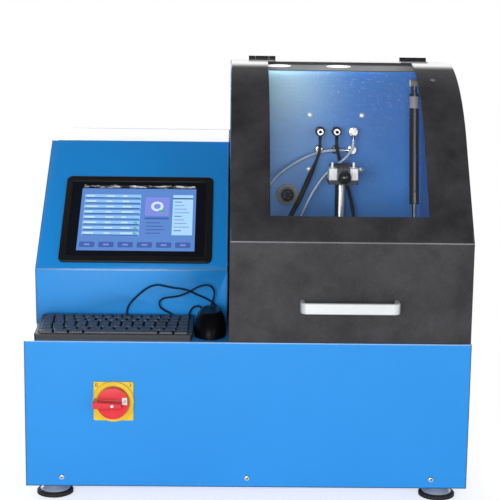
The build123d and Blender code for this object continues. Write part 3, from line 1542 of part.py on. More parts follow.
flexible(keyboard_lead_route, lead_diameter, "keyboard_lead")
flexible(mouse_lead_route, lead_diameter, "mouse_lead")
flexible(black_hose_left_route, thick_hose_diameter, "black_hose_left")
flexible(black_hose_right_route, thin_hose_diameter, "black_hose_right")
flexible(clear_hose_right_route, thin_hose_diameter, "clear_hose_right")
flexible(clear_hose_left_route, thin_hose_diameter, "clear_hose_left")

# Drive motor, lying along the base on its feet, with cooling fins and a flange.
inner_floor_z = foot_height + sheet
motor_x = -half_width + motor_left
motor_y = front_y + motor_depth
motor_z = inner_floor_z + motor_lift
motor_end_x = motor_x + motor_length
with BuildPart() as drive_motor:
    with BuildSketch(Plane.YZ.offset(motor_x)):
        with Locations((motor_y, motor_z)):
            Circle(motor_radius - motor_fin_depth)
            with PolarLocations(motor_radius - motor_fin_depth, motor_fin_count):
                Rectangle(motor_fin_depth * 2, motor_fin_width)
    extrude(amount=motor_length - motor_flange)
    with BuildSketch(Plane.YZ.offset(motor_end_x - motor_flange)):
        with Locations((motor_y, motor_z)):
            Circle(motor_radius)
    extrude(amount=motor_flange)
    for x in (motor_x + motor_foot_height, motor_end_x - motor_flange - motor_foot_height * 2):
        box_between(
            (x, motor_y - motor_foot_width / 2, inner_floor_z),
            (x + motor_foot_height * 2, motor_y + motor_foot_width / 2, inner_floor_z + motor_foot_height),
        )
        box_between(
            (x, motor_y - motor_foot_width / 4, inner_floor_z),
            (x + motor_foot_height * 2, motor_y + motor_foot_width / 4, motor_z),
        )
    with BuildSketch(Plane.YZ.offset(motor_end_x)):
        with Locations((motor_y, motor_z)):
            Circle(shaft_radius + running_fit)
    extrude(amount=-shaft_bore_depth, mode=Mode.SUBTRACT)
save(drive_motor, "drive_motor")

# Drive shaft: motor end, jaw coupling and pump end, which turn as one.
hub_start_x = motor_end_x + shaft_free
pump_x = hub_start_x + 2 * hub_length + hub_gap + shaft_free
with BuildPart() as drive_shaft:
    for low, high, radius in (
        (motor_end_x - shaft_bore_depth + overrun, pump_x + shaft_bore_depth - overrun, shaft_radius),
        (hub_start_x, hub_start_x + hub_length, hub_radius),
        (hub_start_x + hub_length, hub_start_x + hub_length + hub_gap, spider_radius),
        (hub_start_x + hub_length + hub_gap, hub_start_x + 2 * hub_length + hub_gap, hub_radius),
    ):
        with BuildSketch(Plane.YZ.offset(low)):
            with Locations((motor_y, motor_z)):
                Circle(radius)
        extrude(amount=high - low)
save(drive_shaft, "drive_shaft")

# High-pressure pump on its foot, with a flange towards the coupling and a pump head on top.
with BuildPart() as pressure_pump:
    with BuildSketch(Plane.YZ.offset(pump_x)):
        with Locations((motor_y, motor_z)):
            Circle(pump_flange_radius)
    extrude(amount=pump_flange)
    box_between(
        (pump_x, motor_y - pump_size / 2, inner_floor_z),
        (pump_x + pump_width, motor_y + pump_size / 2, motor_z + pump_size / 2),
    )
    fillet(pressure_pump.edges().filter_by(Axis.X).group_by(Axis.Z)[-1], pump_edge)
    with Locations((pump_x + pump_width / 2, motor_y, motor_z + pump_size / 2 + pump_head / 2)):
        Cylinder(pump_head, pump_head)
    with BuildSketch(Plane.YZ.offset(pump_x)):
        with Locations((motor_y, motor_z)):
            Circle(shaft_radius + running_fit)
    extrude(amount=shaft_bore_depth, mode=Mode.SUBTRACT)
save(pressure_pump, "pressure_pump")

# Common rail hung from the deck on two brackets, with outlets, a pressure sensor and a control valve.
rail_y = front_y + rail_depth
rail_z = deck_z - rail_drop
rail_x = half_width - rail_side_gap - 2 * rail_sensor_length - rail_length / 2
with BuildPart() as common_rail:
    rail_low_x = rail_x - rail_length / 2
    with BuildSketch(Plane.YZ.offset(rail_low_x)):
        with Locations((rail_y, rail_z)):
            Circle(rail_radius)
    extrude(amount=rail_length)
    with BuildSketch(Plane.YZ.offset(rail_low_x - rail_sensor_length)):
        with Locations((rail_y, rail_z)):
            RegularPolygon(rail_valve_radius, 6)
    extrude(amount=rail_sensor_length)
    with BuildSketch(Plane.YZ.offset(rail_low_x + rail_length)):
        with Locations((rail_y, rail_z)):
            Circle(rail_valve_radius)
    extrude(amount=rail_sensor_length * 2)
    for place in range(rail_outlet_count):
        x = rail_low_x + rail_length * (place + 1) / (rail_outlet_count + 1)
        with Locations((x, rail_y + rail_radius + rail_outlet_length / 2, rail_z)):
            Cylinder(rail_outlet_radius, rail_outlet_length + rail_radius, rotation=(90, 0, 0))
    for side in (-1, 1):
        x = rail_x + side * rail_length * rail_bracket_share
        box_between(
            (x - rail_bracket_width / 2, rail_y - rail_radius, rail_z),
            (x + rail_bracket_width / 2, rail_y + rail_radius, deck_z - sheet),
        )
save(common_rail, "common_rail")

# Fuel tank in the rear right of the base, with its filler neck and cap.
tank_right_x = half_width - tank_side_inset
tank_rear_y = back_y - tank_back_inset
tank_low = (tank_right_x - tank_width, tank_rear_y - tank_depth, inner_floor_z)
tank_high = (tank_right_x, tank_rear_y, inner_floor_z + tank_height)
with BuildPart() as fuel_tank:
    box_between(tank_low, tank_high)
    fillet(fuel_tank.edges().filter_by(Axis.Z), tank_corner)
    box_between(
        tuple(v + tank_wall * 2 for v in tank_low),
        tuple(v - tank_wall * 2 for v in tank_high),
        Mode.SUBTRACT,
    )
    neck_x = (tank_low[0] + tank_high[0]) / 2
    neck_y = (tank_low[1] + tank_high[1]) / 2
    with Locations((neck_x, neck_y, tank_high[2] + tank_neck_height / 2)):
        Cylinder(tank_neck_radius, tank_neck_height)
    with Locations((neck_x, neck_y, tank_high[2] + tank_neck_height + tank_cap_height / 2)):
        Cylinder(tank_cap_radius, tank_cap_height)
save(fuel_tank, "fuel_tank")

# Cooling fan on the base's back wall: a square frame with a carrier cross, and the bladed rotor.
fan_back_y = back_y - sheet
fan_front_y = fan_back_y - fan_depth
fan_pin_back_y = fan_back_y - fan_arm_depth * 2
hub_front_y = fan_front_y + fan_arm_depth + seat_gap
with BuildPart() as fan_frame:
    with BuildSketch(Plane.XZ.offset(-fan_back_y)):
        with Locations((fan_x, fan_z)):
            RectangleRounded(fan_size, fan_size, fan_arm_width)
            Circle(fan_bore, mode=Mode.SUBTRACT)
    extrude(amount=fan_depth)
    with BuildSketch(Plane.XZ.offset(-fan_front_y - fan_arm_depth)):
        with Locations((fan_x, fan_z)):
            Rectangle(fan_bore * 2 + fan_arm_width, fan_arm_width)
            Rectangle(fan_arm_width, fan_bore * 2 + fan_arm_width)
            Circle(fan_hub_radius)
    extrude(amount=fan_arm_depth)
    stub(fan_x, fan_front_y + fan_arm_depth / 2, fan_pin_back_y, fan_z, fan_pin_radius)
save(fan_frame, "fan_frame")

rotor_front_y = fan_front_y + fan_arm_depth * 2 + fan_blade_gap
rotor_back_y = fan_back_y - fan_blade_gap
with BuildPart() as fan_rotor:
    stub(fan_x, hub_front_y, rotor_back_y, fan_z, fan_hub_radius)
    blade_span = fan_bore - fan_blade_gap - fan_hub_radius
    blade_chord = (rotor_back_y - rotor_front_y) * cos(radians(fan_blade_twist))
    for turn in range(fan_blade_count):
        angle = 360 * turn / fan_blade_count
        reach = fan_hub_radius + blade_span / 2 - fan_blade_gap
        place = (
            fan_x + reach * cos(radians(angle)),
            (rotor_front_y + rotor_back_y) / 2,
            fan_z + reach * sin(radians(angle)),
        )
        blade_plane = Plane(
            origin=place,
            x_dir=(cos(radians(angle)), 0, sin(radians(angle))),
            z_dir=(
                -sin(radians(angle)) * cos(radians(fan_blade_twist)),
                sin(radians(fan_blade_twist)),
                cos(radians(angle)) * cos(radians(fan_blade_twist)),
            ),
        )
        with BuildSketch(blade_plane):
            Rectangle(blade_span + fan_blade_gap, blade_chord * fan_chord_share)
        extrude(amount=fan_blade / 2, both=True)
    with BuildSketch(Plane.XZ.offset(-hub_front_y)):
        with Locations((fan_x, fan_z)):
            Circle(fan_pin_radius + running_fit)
    extrude(amount=-(fan_pin_back_y - hub_front_y + seat_gap), mode=Mode.SUBTRACT)
save(fan_rotor, "fan_rotor")

# Control unit on the deck inside the console, with cooling fins.
control_y = back_y - control_from_back
control_x = console_left_x + control_inset + control_width / 2
with BuildPart() as control_unit:
    box_between(
        (control_x - control_width / 2, control_y - control_depth / 2, deck_z),
        (control_x + control_width / 2, control_y + control_depth / 2, deck_z + control_height),
    )
    fin_low_z = deck_z + control_height
    for place in range(control_fin_count):
        x = control_x + control_width * ((place + 0.5) / control_fin_count - 0.5)
        box_between(
            (x - control_fin / 2, control_y - control_depth / 2, fin_low_z),
            (x + control_fin / 2, control_y + control_depth / 2, fin_low_z + control_fin_height),
        )
save(control_unit, "control_unit")

# Mains inlet in the base's back wall: flange, sunk socket and three contact pins.
with BuildPart() as mains_inlet:
    box_between(
        (inlet_x - inlet_width / 2, back_y, inlet_z - inlet_height / 2),
        (inlet_x + inlet_width / 2, back_y + inlet_flange, inlet_z + inlet_height / 2),
    )
    inlet_half_x = inlet_width / 2 - inlet_edge - seat_gap
    inlet_half_z = inlet_height / 2 - inlet_edge - seat_gap
    box_between(
        (inlet_x - inlet_half_x, back_y - inlet_body_depth, inlet_z - inlet_half_z),
        (inlet_x + inlet_half_x, back_y, inlet_z + inlet_half_z),
    )
    socket_half_x = inlet_width / 2 - socket_wall
    socket_half_z = inlet_half_z - inlet_edge / 2
    box_between(
        (inlet_x - socket_half_x, back_y - inlet_body_depth + inlet_flange, inlet_z - socket_half_z),
        (inlet_x + socket_half_x, back_y + inlet_flange + overrun, inlet_z + socket_half_z),
        Mode.SUBTRACT,
    )
    for place in (-1, 0, 1):
        x = inlet_x + place * pin_spacing / 2
        box_between(
            (x - pin_thickness / 2, back_y - inlet_body_depth, inlet_z - pin_height / 2),
            (x + pin_thickness / 2, back_y - inlet_body_depth + pin_length, inlet_z + pin_height / 2),
        )
save(mains_inlet, "mains_inlet")
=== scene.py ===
from math import atan2, cos, pi, radians, sin

import bmesh
import bpy
from mathutils import Matrix, Vector


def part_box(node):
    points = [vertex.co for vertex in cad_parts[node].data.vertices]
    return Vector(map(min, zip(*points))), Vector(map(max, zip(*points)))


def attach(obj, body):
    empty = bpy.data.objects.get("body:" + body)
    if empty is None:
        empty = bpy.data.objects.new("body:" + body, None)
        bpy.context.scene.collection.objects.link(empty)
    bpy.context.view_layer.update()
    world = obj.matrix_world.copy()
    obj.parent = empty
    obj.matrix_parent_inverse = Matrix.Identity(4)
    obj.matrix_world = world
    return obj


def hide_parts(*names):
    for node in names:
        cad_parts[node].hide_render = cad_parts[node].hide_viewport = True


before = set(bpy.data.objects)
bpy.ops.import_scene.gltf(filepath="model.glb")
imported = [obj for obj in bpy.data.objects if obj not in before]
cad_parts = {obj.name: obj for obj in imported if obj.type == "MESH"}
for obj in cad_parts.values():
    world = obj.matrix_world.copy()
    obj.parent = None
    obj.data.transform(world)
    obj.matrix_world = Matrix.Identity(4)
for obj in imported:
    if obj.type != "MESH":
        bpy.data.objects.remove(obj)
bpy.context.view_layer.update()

# The bench is seen from the front, a little from above and slightly from the left of its middle,
# with a long lens from about two metres away. The camera turns, tips and rolls by small angles.
bench_front = -0.335
deck = 0.268
eye = Vector((-0.0317, bench_front - 2.0372, 0.7488))
turn, tip, roll = -0.0158738, 0.1604621, 0.0126992
sight = Vector((-sin(turn) * cos(tip), cos(turn) * cos(tip), -sin(tip)))
level = Vector((cos(turn), sin(turn), 0))
upward = level.cross(sight)
right_hand = level * cos(roll) + upward * sin(roll)
overhead = upward * cos(roll) - level * sin(roll)
lens = bpy.data.cameras.new("studio_lens")
lens.lens = 93.6
lens.sensor_width = 36.0
lens.clip_end = 50.0


def stood(name, data):
    """An object of the scene from its data."""
    thing = bpy.data.objects.new(name, data)
    bpy.context.scene.collection.objects.link(thing)
    return thing


camera = stood("studio_camera", lens)
camera.matrix_world = Matrix((
    (right_hand.x, overhead.x, -sight.x, eye.x),
    (right_hand.y, overhead.y, -sight.y, eye.y),
    (right_hand.z, overhead.z, -sight.z, eye.z),
    (0, 0, 0, 1),
))
bpy.context.scene.camera = camera


# Two thin leads of soft black vinyl lie behind the keyboard: one from the keyboard's back edge and one
# from the mouse's nose. Each rises against the console and drops into a grommet low on its front.
class Flow:
    """A socket of a material. Sums and products of it become Math nodes, and | takes the larger of two."""

    def __init__(self, tree, socket=None):
        self.tree = tree
        self.socket = socket

    def node(self, kind, settings=(), values=(), output=0):
        made = self.tree.nodes.new("ShaderNode" + kind)
        for name, value in dict(settings).items():
            setattr(made, name, value)
        for name, value in dict(values).items():
            self.feed(made.inputs[name], value)
        return Flow(self.tree, made.outputs[output])

    def feed(self, socket, value):
        if isinstance(value, Flow):
            self.tree.links.new(value.socket, socket)
        else:
            socket.default_value = value

    def sum(self, operation, left, right=0.0):
        return self.node("Math", {"operation": operation}, {0: left, 1: right})

    def __add__(self, other):
        return self.sum("ADD", self, other)

    def __mul__(self, other):
        return self.sum("MULTIPLY", self, other)

    def __sub__(self, other):
        return self.sum("SUBTRACT", self, other)

    def __rsub__(self, other):
        return self.sum("SUBTRACT", other, self)

    def __gt__(self, other):
        return self.sum("GREATER_THAN", self, other)

    def __lt__(self, other):
        return self.sum("LESS_THAN", self, other)

    def __or__(self, other):
        return self.sum("MAXIMUM", self, other)

    def __abs__(self):
        return self.sum("ABSOLUTE", self)

    __radd__ = __add__
    __rmul__ = __mul__


def new_finish(name, **constants):
    """A material, the sockets of its shader with their constants set, and the place on the bench."""
    material = bpy.data.materials.new(name)
    material.use_nodes = True
    shader = material.node_tree.nodes["Principled BSDF"]
    for key, value in constants.items():
        shader.inputs[key.replace("_", " ").title().replace("Ior", "IOR")].default_value = value
    return material, shader.inputs, Flow(material.node_tree).node("TexCoord", output=3)


def part_of(vector, axis):
    return vector.node("SeparateXYZ", {}, {0: vector}, output=axis)


def turn_of(place):
    """The way that the surface faces on its piece."""
    return place.node("TexCoord", output=1)


def drawn_out(place, scale):
    return place.node("Mapping", {}, {0: place, 3: scale})


def noise_of(place, scale, detail=2.0, rough=0.5):
    return place.node("TexNoise", {}, {"Vector": place, "Scale": scale, "Detail": detail, "Roughness": rough})


def ramp_of(value, start, stop, first, last, kind="LINEAR"):
    """A value's share of the way from start to stop, as a number from first to last."""
    return value.node(
        "MapRange", {"interpolation_type": kind}, {"Value": value, 1: start, 2: stop, 3: first, 4: last}
    )


def soft_ramp(value, start, stop, first, last):
    return ramp_of(value, start, stop, first, last, "SMOOTHSTEP")


def relief_of(height, strength, depth):
    return height.node("Bump", {}, {"Strength": strength, "Distance": depth, "Height": height})


def blend_of(share, low, high):
    """A colour between two colours."""
    low, high = (end if isinstance(end, Flow) else (*end, 1) for end in (low, high))
    return share.node("Mix", {"data_type": "RGBA"}, {0: share, 6: low, 7: high}, output=2)


def grained(name, colour, rough, grain, depth, tone=0.06, uneven=0.05, stretch=(1, 1, 1), **constants):
    """A finish with a fine grain in its relief, uneven gloss and a faint cloudiness in its colour."""
    material, sockets, place = new_finish(name, **constants)
    fine = noise_of(drawn_out(place, stretch), grain, 3.0, 0.6)
    cloud = noise_of(place, 14.0, 4.0)
    darker = tuple(part * (1 - tone) for part in colour)
    lighter = tuple(min(1.0, part * (1 + tone)) for part in colour)
    place.feed(sockets["Base Color"], blend_of(cloud, darker, lighter))
    place.feed(sockets["Roughness"], cloud * (2 * uneven) + (rough - uneven) + fine * 0.02)
    place.feed(sockets["Normal"], relief_of(fine, 0.6, depth))
    return material


def settle(piece, body, material, slot, *nodes):
    """Gives a piece its finish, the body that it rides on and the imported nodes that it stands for."""
    for one in material if isinstance(material, (list, tuple)) else [material]:
        piece.data.materials.append(one)
    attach(piece, body)
    if nodes:
        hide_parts(*nodes)
    return piece


def laid(name, route, thickness, material, slot, slim=()):
    """A cord on a smooth curve along its route, slimmer at the first places of it. The places are given
    in millimetres: across, back from the bench's front face, and up."""
    places = [(x / 1000, bench_front + depth / 1000, z / 1000) for x, depth, z in route]
    curve = bpy.data.curves.new(name, "CURVE")
    curve.dimensions = "3D"
    curve.bevel_depth = thickness / 2
    curve.bevel_resolution = 5
    curve.use_fill_caps = True
    line = curve.splines.new("NURBS")
    line.points.add(len(places) - 1)
    for point, place in zip(line.points, places):
        point.co = (*place, 1)
    for point, share in zip(line.points, slim):
        point.radius = share
    line.order_u = 3
    line.use_endpoint_u = True
    line.resolution_u = 10
    piece = stood(name + "_run", curve)
    settle(piece, "cabinet", material, slot, name)


# The vinyl is black; its faint navy tint is a painted reflection of the blue cabinet around the leads.
black_vinyl = grained("black_vinyl", (0.003, 0.009, 0.028), 0.50, 900.0, 0.0002, specular_ior_level=0.2)
keyboard_route = [
    (-205.5, 127.5, 281), (-205.5, 127.5, 289.5), (-203, 127.9, 299), (-196.8, 128, 308.2),
    (-188, 127.8, 317), (-177, 127.2, 327), (-165.5, 126.8, 334.5), (-153.5, 126.6, 337.6),
    (-141.5, 126.7, 335.3), (-128, 126.8, 332.3), (-113.5, 126.6, 331), (-100.5, 126.8, 328),
    (-87.5, 127, 321.3), (-74, 127.2, 315.8), (-62, 127.4, 309.6), (-53.8, 127.2, 302.4),
    (-49, 126.8, 293.2), (-47.6, 130.9, 285.4),
]
mouse_route = [
    (-66, 116.5, 284), (-71, 120, 290.4), (-76.4, 121.2, 298.2), (-84.4, 121.4, 302.8),
    (-92.8, 122.2, 300.4), (-97.4, 124.2, 292.4), (-101, 126.8, 283.6), (-108.6, 128.2, 278.4),
    (-118, 128.1, 280), (-126.5, 127.9, 285), (-134.5, 127.3, 290), (-143.4, 126.2, 294.2),
    (-150, 124.6, 300.8), (-149.6, 122.6, 310.6), (-141.2, 121.2, 316.2), (-129.5, 120.6, 317.4),
    (-116.5, 120, 319.4), (-104.5, 119.7, 324), (-93.5, 119.5, 330.6), (-82.5, 119.5, 336.8),
    (-71, 119.6, 339.4), (-61.2, 119.8, 336.6), (-56.2, 120, 328), (-57.6, 120.2, 317),
    (-60.8, 120.5, 306.4), (-63.6, 122.4, 296.8), (-64.4, 127, 289.2), (-65, 131.4, 282.6),
]
laid("keyboard_lead", keyboard_route, 0.003, black_vinyl, "black_hose")
laid("mouse_lead", mouse_route, 0.003, black_vinyl, "black_hose")

# Four hoses hang in the chamber: black fuel hose from the two left upper couplers, and clear soft tube
# from the right upper and the right lower one. Each ends on a barb low on the chamber's back.
black_hose = grained(
    "black_hose", (0.012, 0.011, 0.012), 0.5, 1200.0, 0.0004, tone=0.12, specular_ior_level=0.25
)
clear_tube, tube_sockets, tube_place = new_finish("clear_tube", coat_weight=0.5, coat_roughness=0.1)
tube_cloud = noise_of(tube_place, 70.0, 3.0)
# Painted light in the tube's colour: a pale painted highlight down its middle and painted dark shade along
# its walls, set by how squarely it faces the view.
tube_side = tube_place.node("LayerWeight", {}, {"Blend": 0.5}, output=1)
tube_painted_wall_shade = ramp_of(tube_side, 0.12, 0.62, 0.0, 1.0)
tube_painted_core_highlight = blend_of(tube_cloud, (0.42, 0.60, 0.84), (0.80, 0.90, 1.0))
tube_place.feed(tube_sockets["Base Color"], blend_of(tube_painted_wall_shade, tube_painted_core_highlight, (0.045, 0.10, 0.22)))
tube_place.feed(tube_sockets["Roughness"], tube_cloud * 0.1 + 0.12)
tube_place.feed(tube_sockets["Alpha"], tube_cloud * 0.15 + 0.78)
left_black_route = [
    (129.5, 307, 571.5), (129.5, 307, 558.5), (127.2, 304.6, 545), (121.5, 301, 530),
    (113.5, 298, 512), (104, 295.5, 490), (95, 293.6, 468), (84, 295, 446.5),
    (74.5, 300.6, 426), (68, 307, 405), (68, 307, 386),
]
right_black_route = [
    (159.5, 307, 571.5), (159.5, 307, 560), (162.6, 307.8, 547.5), (167, 310.4, 532.5),
    (172.6, 312.4, 515), (179.3, 312.4, 494.5), (186, 311.6, 471.5), (191.4, 310.6, 448.5),
    (194.2, 309.2, 427), (190, 307, 402), (190, 307, 386),
]
right_clear_route = [
    (189.5, 307, 571.5), (189.5, 307, 562.5), (184.6, 304.2, 551), (176.5, 300.4, 541),
    (165, 298, 532), (152.5, 297.2, 523), (140, 297, 511.5), (130, 296, 498.5),
    (120, 294.6, 483.5), (110.5, 293.4, 466), (102, 293.4, 447), (94, 296.4, 428),
    (88.6, 301.8, 414.5), (86, 307, 401), (86, 307, 386),
]
left_clear_route = [
    (174.5, 319, 552.5), (164, 319, 552.5), (147, 318.6, 552), (128, 318, 548.4),
    (108, 317.2, 541), (88.5, 315.8, 531), (70.5, 313.6, 519.6), (55, 311, 507.6),
    (42.5, 308, 493.6), (34, 305, 477), (31, 303.2, 457.6), (33, 303.2, 436.4),
    (39.5, 305.2, 415), (46.5, 307, 399), (48, 307, 386),
]
laid("black_hose_left", left_black_route, 0.009, black_hose, "black_hose",
     slim=(0.58, 0.58, 0.58, 0.66))
laid("black_hose_right", right_black_route, 0.006, black_hose, "black_hose")
laid("clear_hose_right", right_clear_route, 0.006, clear_tube, "clear_hose")
laid("clear_hose_left", left_clear_route, 0.006, clear_tube, "clear_hose")


# The cabinet's base is a box of folded steel sheet with a separate front panel, both in glossy blue
# powder coat. Every fold and cut edge is broken by a fraction of a millimetre.
def into_piece(name, form, sharp):
    """An object from a finished form, smooth up to an angle."""
    mesh = bpy.data.meshes.new(name)
    form.to_mesh(mesh)
    form.free()
    mesh.shade_smooth()
    mesh.set_sharp_from_angle(angle=radians(sharp))
    return stood(name, mesh)


def softened(node, body, material, slot, width, segments=2, moulded_to=None):
    """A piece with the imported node's shape, its edges broken by a small bevel."""
    form = bmesh.new()
    form.from_mesh(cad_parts[node].data)
    bmesh.ops.remove_doubles(form, verts=form.verts, dist=0.000002)
    bmesh.ops.dissolve_limit(form, angle_limit=radians(0.5), verts=form.verts, edges=form.edges)
    for face in form.faces:
        face.material_index = 0
    if moulded_to:
        bmesh.ops.triangulate(form, faces=[face for face in form.faces if len(face.verts) > 4])
        for vert in form.verts:
            vert.co = moulded_to(vert.co)
    piece = into_piece(node + "_form", form, 32)
    bevel = piece.modifiers.new("broken_edges", "BEVEL")
    bevel.width = width
    bevel.segments = segments
    bevel.limit_method = "ANGLE"
    bevel.angle_limit = radians(32)
    bevel.use_clamp_overlap = True
    return settle(piece, body, material, slot, node)


def fold_masks(place, radius):
    """Masks for a painted highlight on folds toward the front and upward, and for painted shade on folds
    turned from the light.
    """
    rounded = place.node("Bevel", {"samples": 8}, {"Radius": radius})
    true = place.node("NewGeometry", output=1)
    flat = place.node("VectorMath", {"operation": "DOT_PRODUCT"}, {0: rounded, 1: true}, output=1)
    edge = ramp_of(flat, 0.999, 0.975, 0.0, 1.0)
    to_piece = {"vector_type": "NORMAL", "convert_from": "WORLD", "convert_to": "OBJECT"}
    local = place.node("VectorTransform", to_piece, {0: rounded})
    sideways = abs(part_of(local, 0))
    rising = part_of(local, 2)
    facing_front = part_of(local, 1) * -3.0
    clamped = {"operation": "MULTIPLY", "use_clamp": True}
    upward_front = place.node("Math", clamped, {0: facing_front, 1: rising})
    level_fold = ramp_of(sideways, 0.10, 0.30, 1.0, 0.0)
    turned_to_shade = ramp_of(sideways | rising * -1.0, 0.06, 0.26, 0.0, 1.0)
    not_a_side = abs(part_of(turn_of(place), 0)) < 0.8
    return edge * level_fold * upward_front, edge * turned_to_shade * not_a_side


def grazed(place, low, high):
    """How far an upward face is seen along rather than onto: the share of its colour given to a painted
    reflection of the pale studio that its clear coat would mirror.
    """
    along = place.node("LayerWeight", {}, {"Blend": 0.5}, output=1)
    return soft_ramp(along, low, high, 0.0, 1.0) * (part_of(turn_of(place), 2) > 0.6)


def powder_coat(name, colour, rough, peel):
    """Sprayed and baked paint: a faint orange peel and dust in its gloss, a painted highlight on its front
    folds, painted shade on folds turned away and a painted white sheen.
    """
    material, sockets, place = new_finish(name, coat_weight=0.3, coat_roughness=0.12, specular_ior_level=0.3)
    x, y, z = (part_of(place, axis) for axis in range(3))
    cloud = noise_of(place, 5.0, 5.0, 0.55)
    dust = noise_of(place, 60.0, 6.0, 0.7)
    deep = tuple(part * 0.94 for part in colour)
    bright = tuple(min(1.0, part * 1.05) for part in colour)
    # Painted light: a pale painted highlight along folds toward the front and upward, speckled by the dust
    # and half as strong low on the base, and painted dark shade on folds turned away.
    painted_fold_light, painted_fold_shade = fold_masks(place, 0.0034)
    above_base = z > 0.30
    line = painted_fold_light * (dust * 0.5 + 0.75) * (above_base * 0.5 + 0.5)
    with_painted_folds = blend_of(line, blend_of(cloud, deep, bright), (0.94, 0.98, 1.0))
    with_painted_folds = blend_of(painted_fold_shade * 0.9, with_painted_folds, (0.002, 0.02, 0.08))
    # A painted white sheen where upward faces are seen at a flat angle. It is weaker on the top's back and
    # left rims, so they show as a painted darker outline, and weaker on shaded folds.
    rim_with_less_painted_sheen = (y > 0.3440) | (x < -0.3578)
    painted_sheen = grazed(place, 0.76, 0.92) * (1.0 - (rim_with_less_painted_sheen * 0.55 | painted_fold_shade * 0.85))
    place.feed(sockets["Base Color"], blend_of(painted_sheen, with_painted_folds, (1.0, 1.0, 1.0)))
    place.feed(sockets["Metallic"], painted_sheen)
    place.feed(sockets["Roughness"], (dust * 0.10 + (rough - 0.05) + cloud * 0.04) * (1.0 - painted_sheen * 0.7))
    place.feed(sockets["Normal"], relief_of(noise_of(place, peel), 0.15, 0.0003))
    return material


blue_paint = powder_coat("blue_paint", (0.014, 0.325, 0.880), 0.34, 420.0)
softened("base_shell", "cabinet", blue_paint, "blue_paint", 0.0006)
softened("base_front_panel", "cabinet", blue_paint, "blue_paint", 0.0006)


# Pan-head machine screws of zinc-plated steel, with a cross recess, hold the front panel and the rear
# panel. Four button heads hold the chamber's back; their near-white colour is a painted glint.
def across_and_beside(along):
    """Two directions square to an axis and to each other."""
    side = Vector((0, 0, 1)) if abs(along.z) < 0.9 else Vector((1, 0, 0))
    across = side.cross(along).normalized()
    return across, along.cross(across)


def turned(name, profile, centre, axis, steps):
    """A lathe-turned form: its profile of radius and height in millimetres, spun about an axis."""
    form = bmesh.new()
    along = Vector(axis).normalized()
    across, beside = across_and_beside(along)
    rings = []
    for radius, height in profile:
        middle = Vector(centre) + along * (height / 1000)
        ring = []
        for angle in (2 * pi * step / steps for step in range(steps if radius else 1)):
            spoke = across * cos(angle) + beside * sin(angle)
            ring.append(form.verts.new(middle + spoke * (radius / 1000)))
        rings.append(ring)
    for low, high in zip(rings, rings[1:]):
        for near in range(steps):
            far = (near + 1) % steps
            if len(low) == 1:
                form.faces.new((low[0], high[far], high[near]))
            elif len(high) == 1:
                form.faces.new((low[near], low[far], high[0]))
            else:
                form.faces.new((low[near], low[far], high[far], high[near]))
    bmesh.ops.recalc_face_normals(form, faces=form.faces)
    return into_piece(name, form, 38)


def bar_along(name, place, outward, lean, length, width, low, high):
    """A small bar lying across an axis, at a lean about it."""
    form = bmesh.new()
    bmesh.ops.create_cube(form, size=1.0)
    along = Vector(outward).normalized()
    across, beside = across_and_beside(along)
    long_way = across * cos(lean) + beside * sin(lean)
    short_way = beside * cos(lean) - across * sin(lean)
    for vert in form.verts:
        a, b, c = vert.co
        height = low + (c + 0.5) * (high - low)
        vert.co = Vector(place) + long_way * (a * length) + short_way * (b * width) + along * height
    return into_piece(name, form, 30)


def joined(name, pieces):
    """Several pieces of one kind made into one."""
    form = bmesh.new()
    for piece in pieces:
        part = piece.data.copy()
        part.transform(piece.matrix_world)
        form.from_mesh(part)
        bpy.data.objects.remove(piece)
    return into_piece(name, form, 38)


back_face = 0.365
chamber_back = 0.002
zinc = grained("zinc_plate", (0.62, 0.63, 0.64), 0.30, 500.0, 0.0002, metallic=1.0)
recess_black = grained("recess_black", (0.01, 0.01, 0.011), 0.7, 800.0, 0.0001)
# Zinc whose near-white colour is a painted glint, on the chamber's button heads and the strut's top bracket.
zinc_painted_glint = grained("zinc_painted_glint", (0.90, 0.97, 1.00), 0.26, 500.0, 0.0001, metallic=0.3, coat_weight=0.4)
forward, backward = (0, -1, 0), (0, 1, 0)
rear_low, rear_middle, rear_high = 0.282, 0.415, 0.548
rear_places = [(x, z) for x in (-0.346, 0.346) for z in (rear_low, rear_middle, rear_high)]
rear_places += [(x, z) for x in (-0.1153333, 0.1153333) for z in (rear_low, rear_high)]
screw_faces = [((x, bench_front, 0.0415), forward) for x in (-0.3015, 0.0, 0.3015)]
screw_faces += [((x, back_face, z), backward) for x, z in rear_places]
domed = [(4.6, 0), (4.6, 0.6), (4.2, 1.4), (3.1, 2.0), (1.6, 2.3), (1.5, 1.2), (0, 1.2)]
heads, crosses = [], []
for place, outward in screw_faces:
    heads.append(turned("head", domed, place, outward, 24))
    for lean in (0.25 * pi, 0.75 * pi):
        crosses.append(bar_along("blade", place, outward, lean, 0.0046, 0.0009, 0.0020, 0.00235))
settle(joined("screw_heads", heads), "cabinet", zinc, "zinc_steel", "case_screws")
settle(joined("screw_recesses", crosses), "cabinet", recess_black, "black_plastic")
button = [(5.2, 0), (5.2, 0.5), (4.7, 1.3), (3.6, 2.0), (2.0, 2.4), (0, 2.5)]
button_places = [(x, chamber_back, z) for x in (0.112, 0.207) for z in (0.5155, 0.6145)]
buttons = [turned("button", button, place, forward, 28) for place in button_places]
settle(joined("lining_screw_heads", buttons), "cabinet", zinc_painted_glint, "zinc_steel")

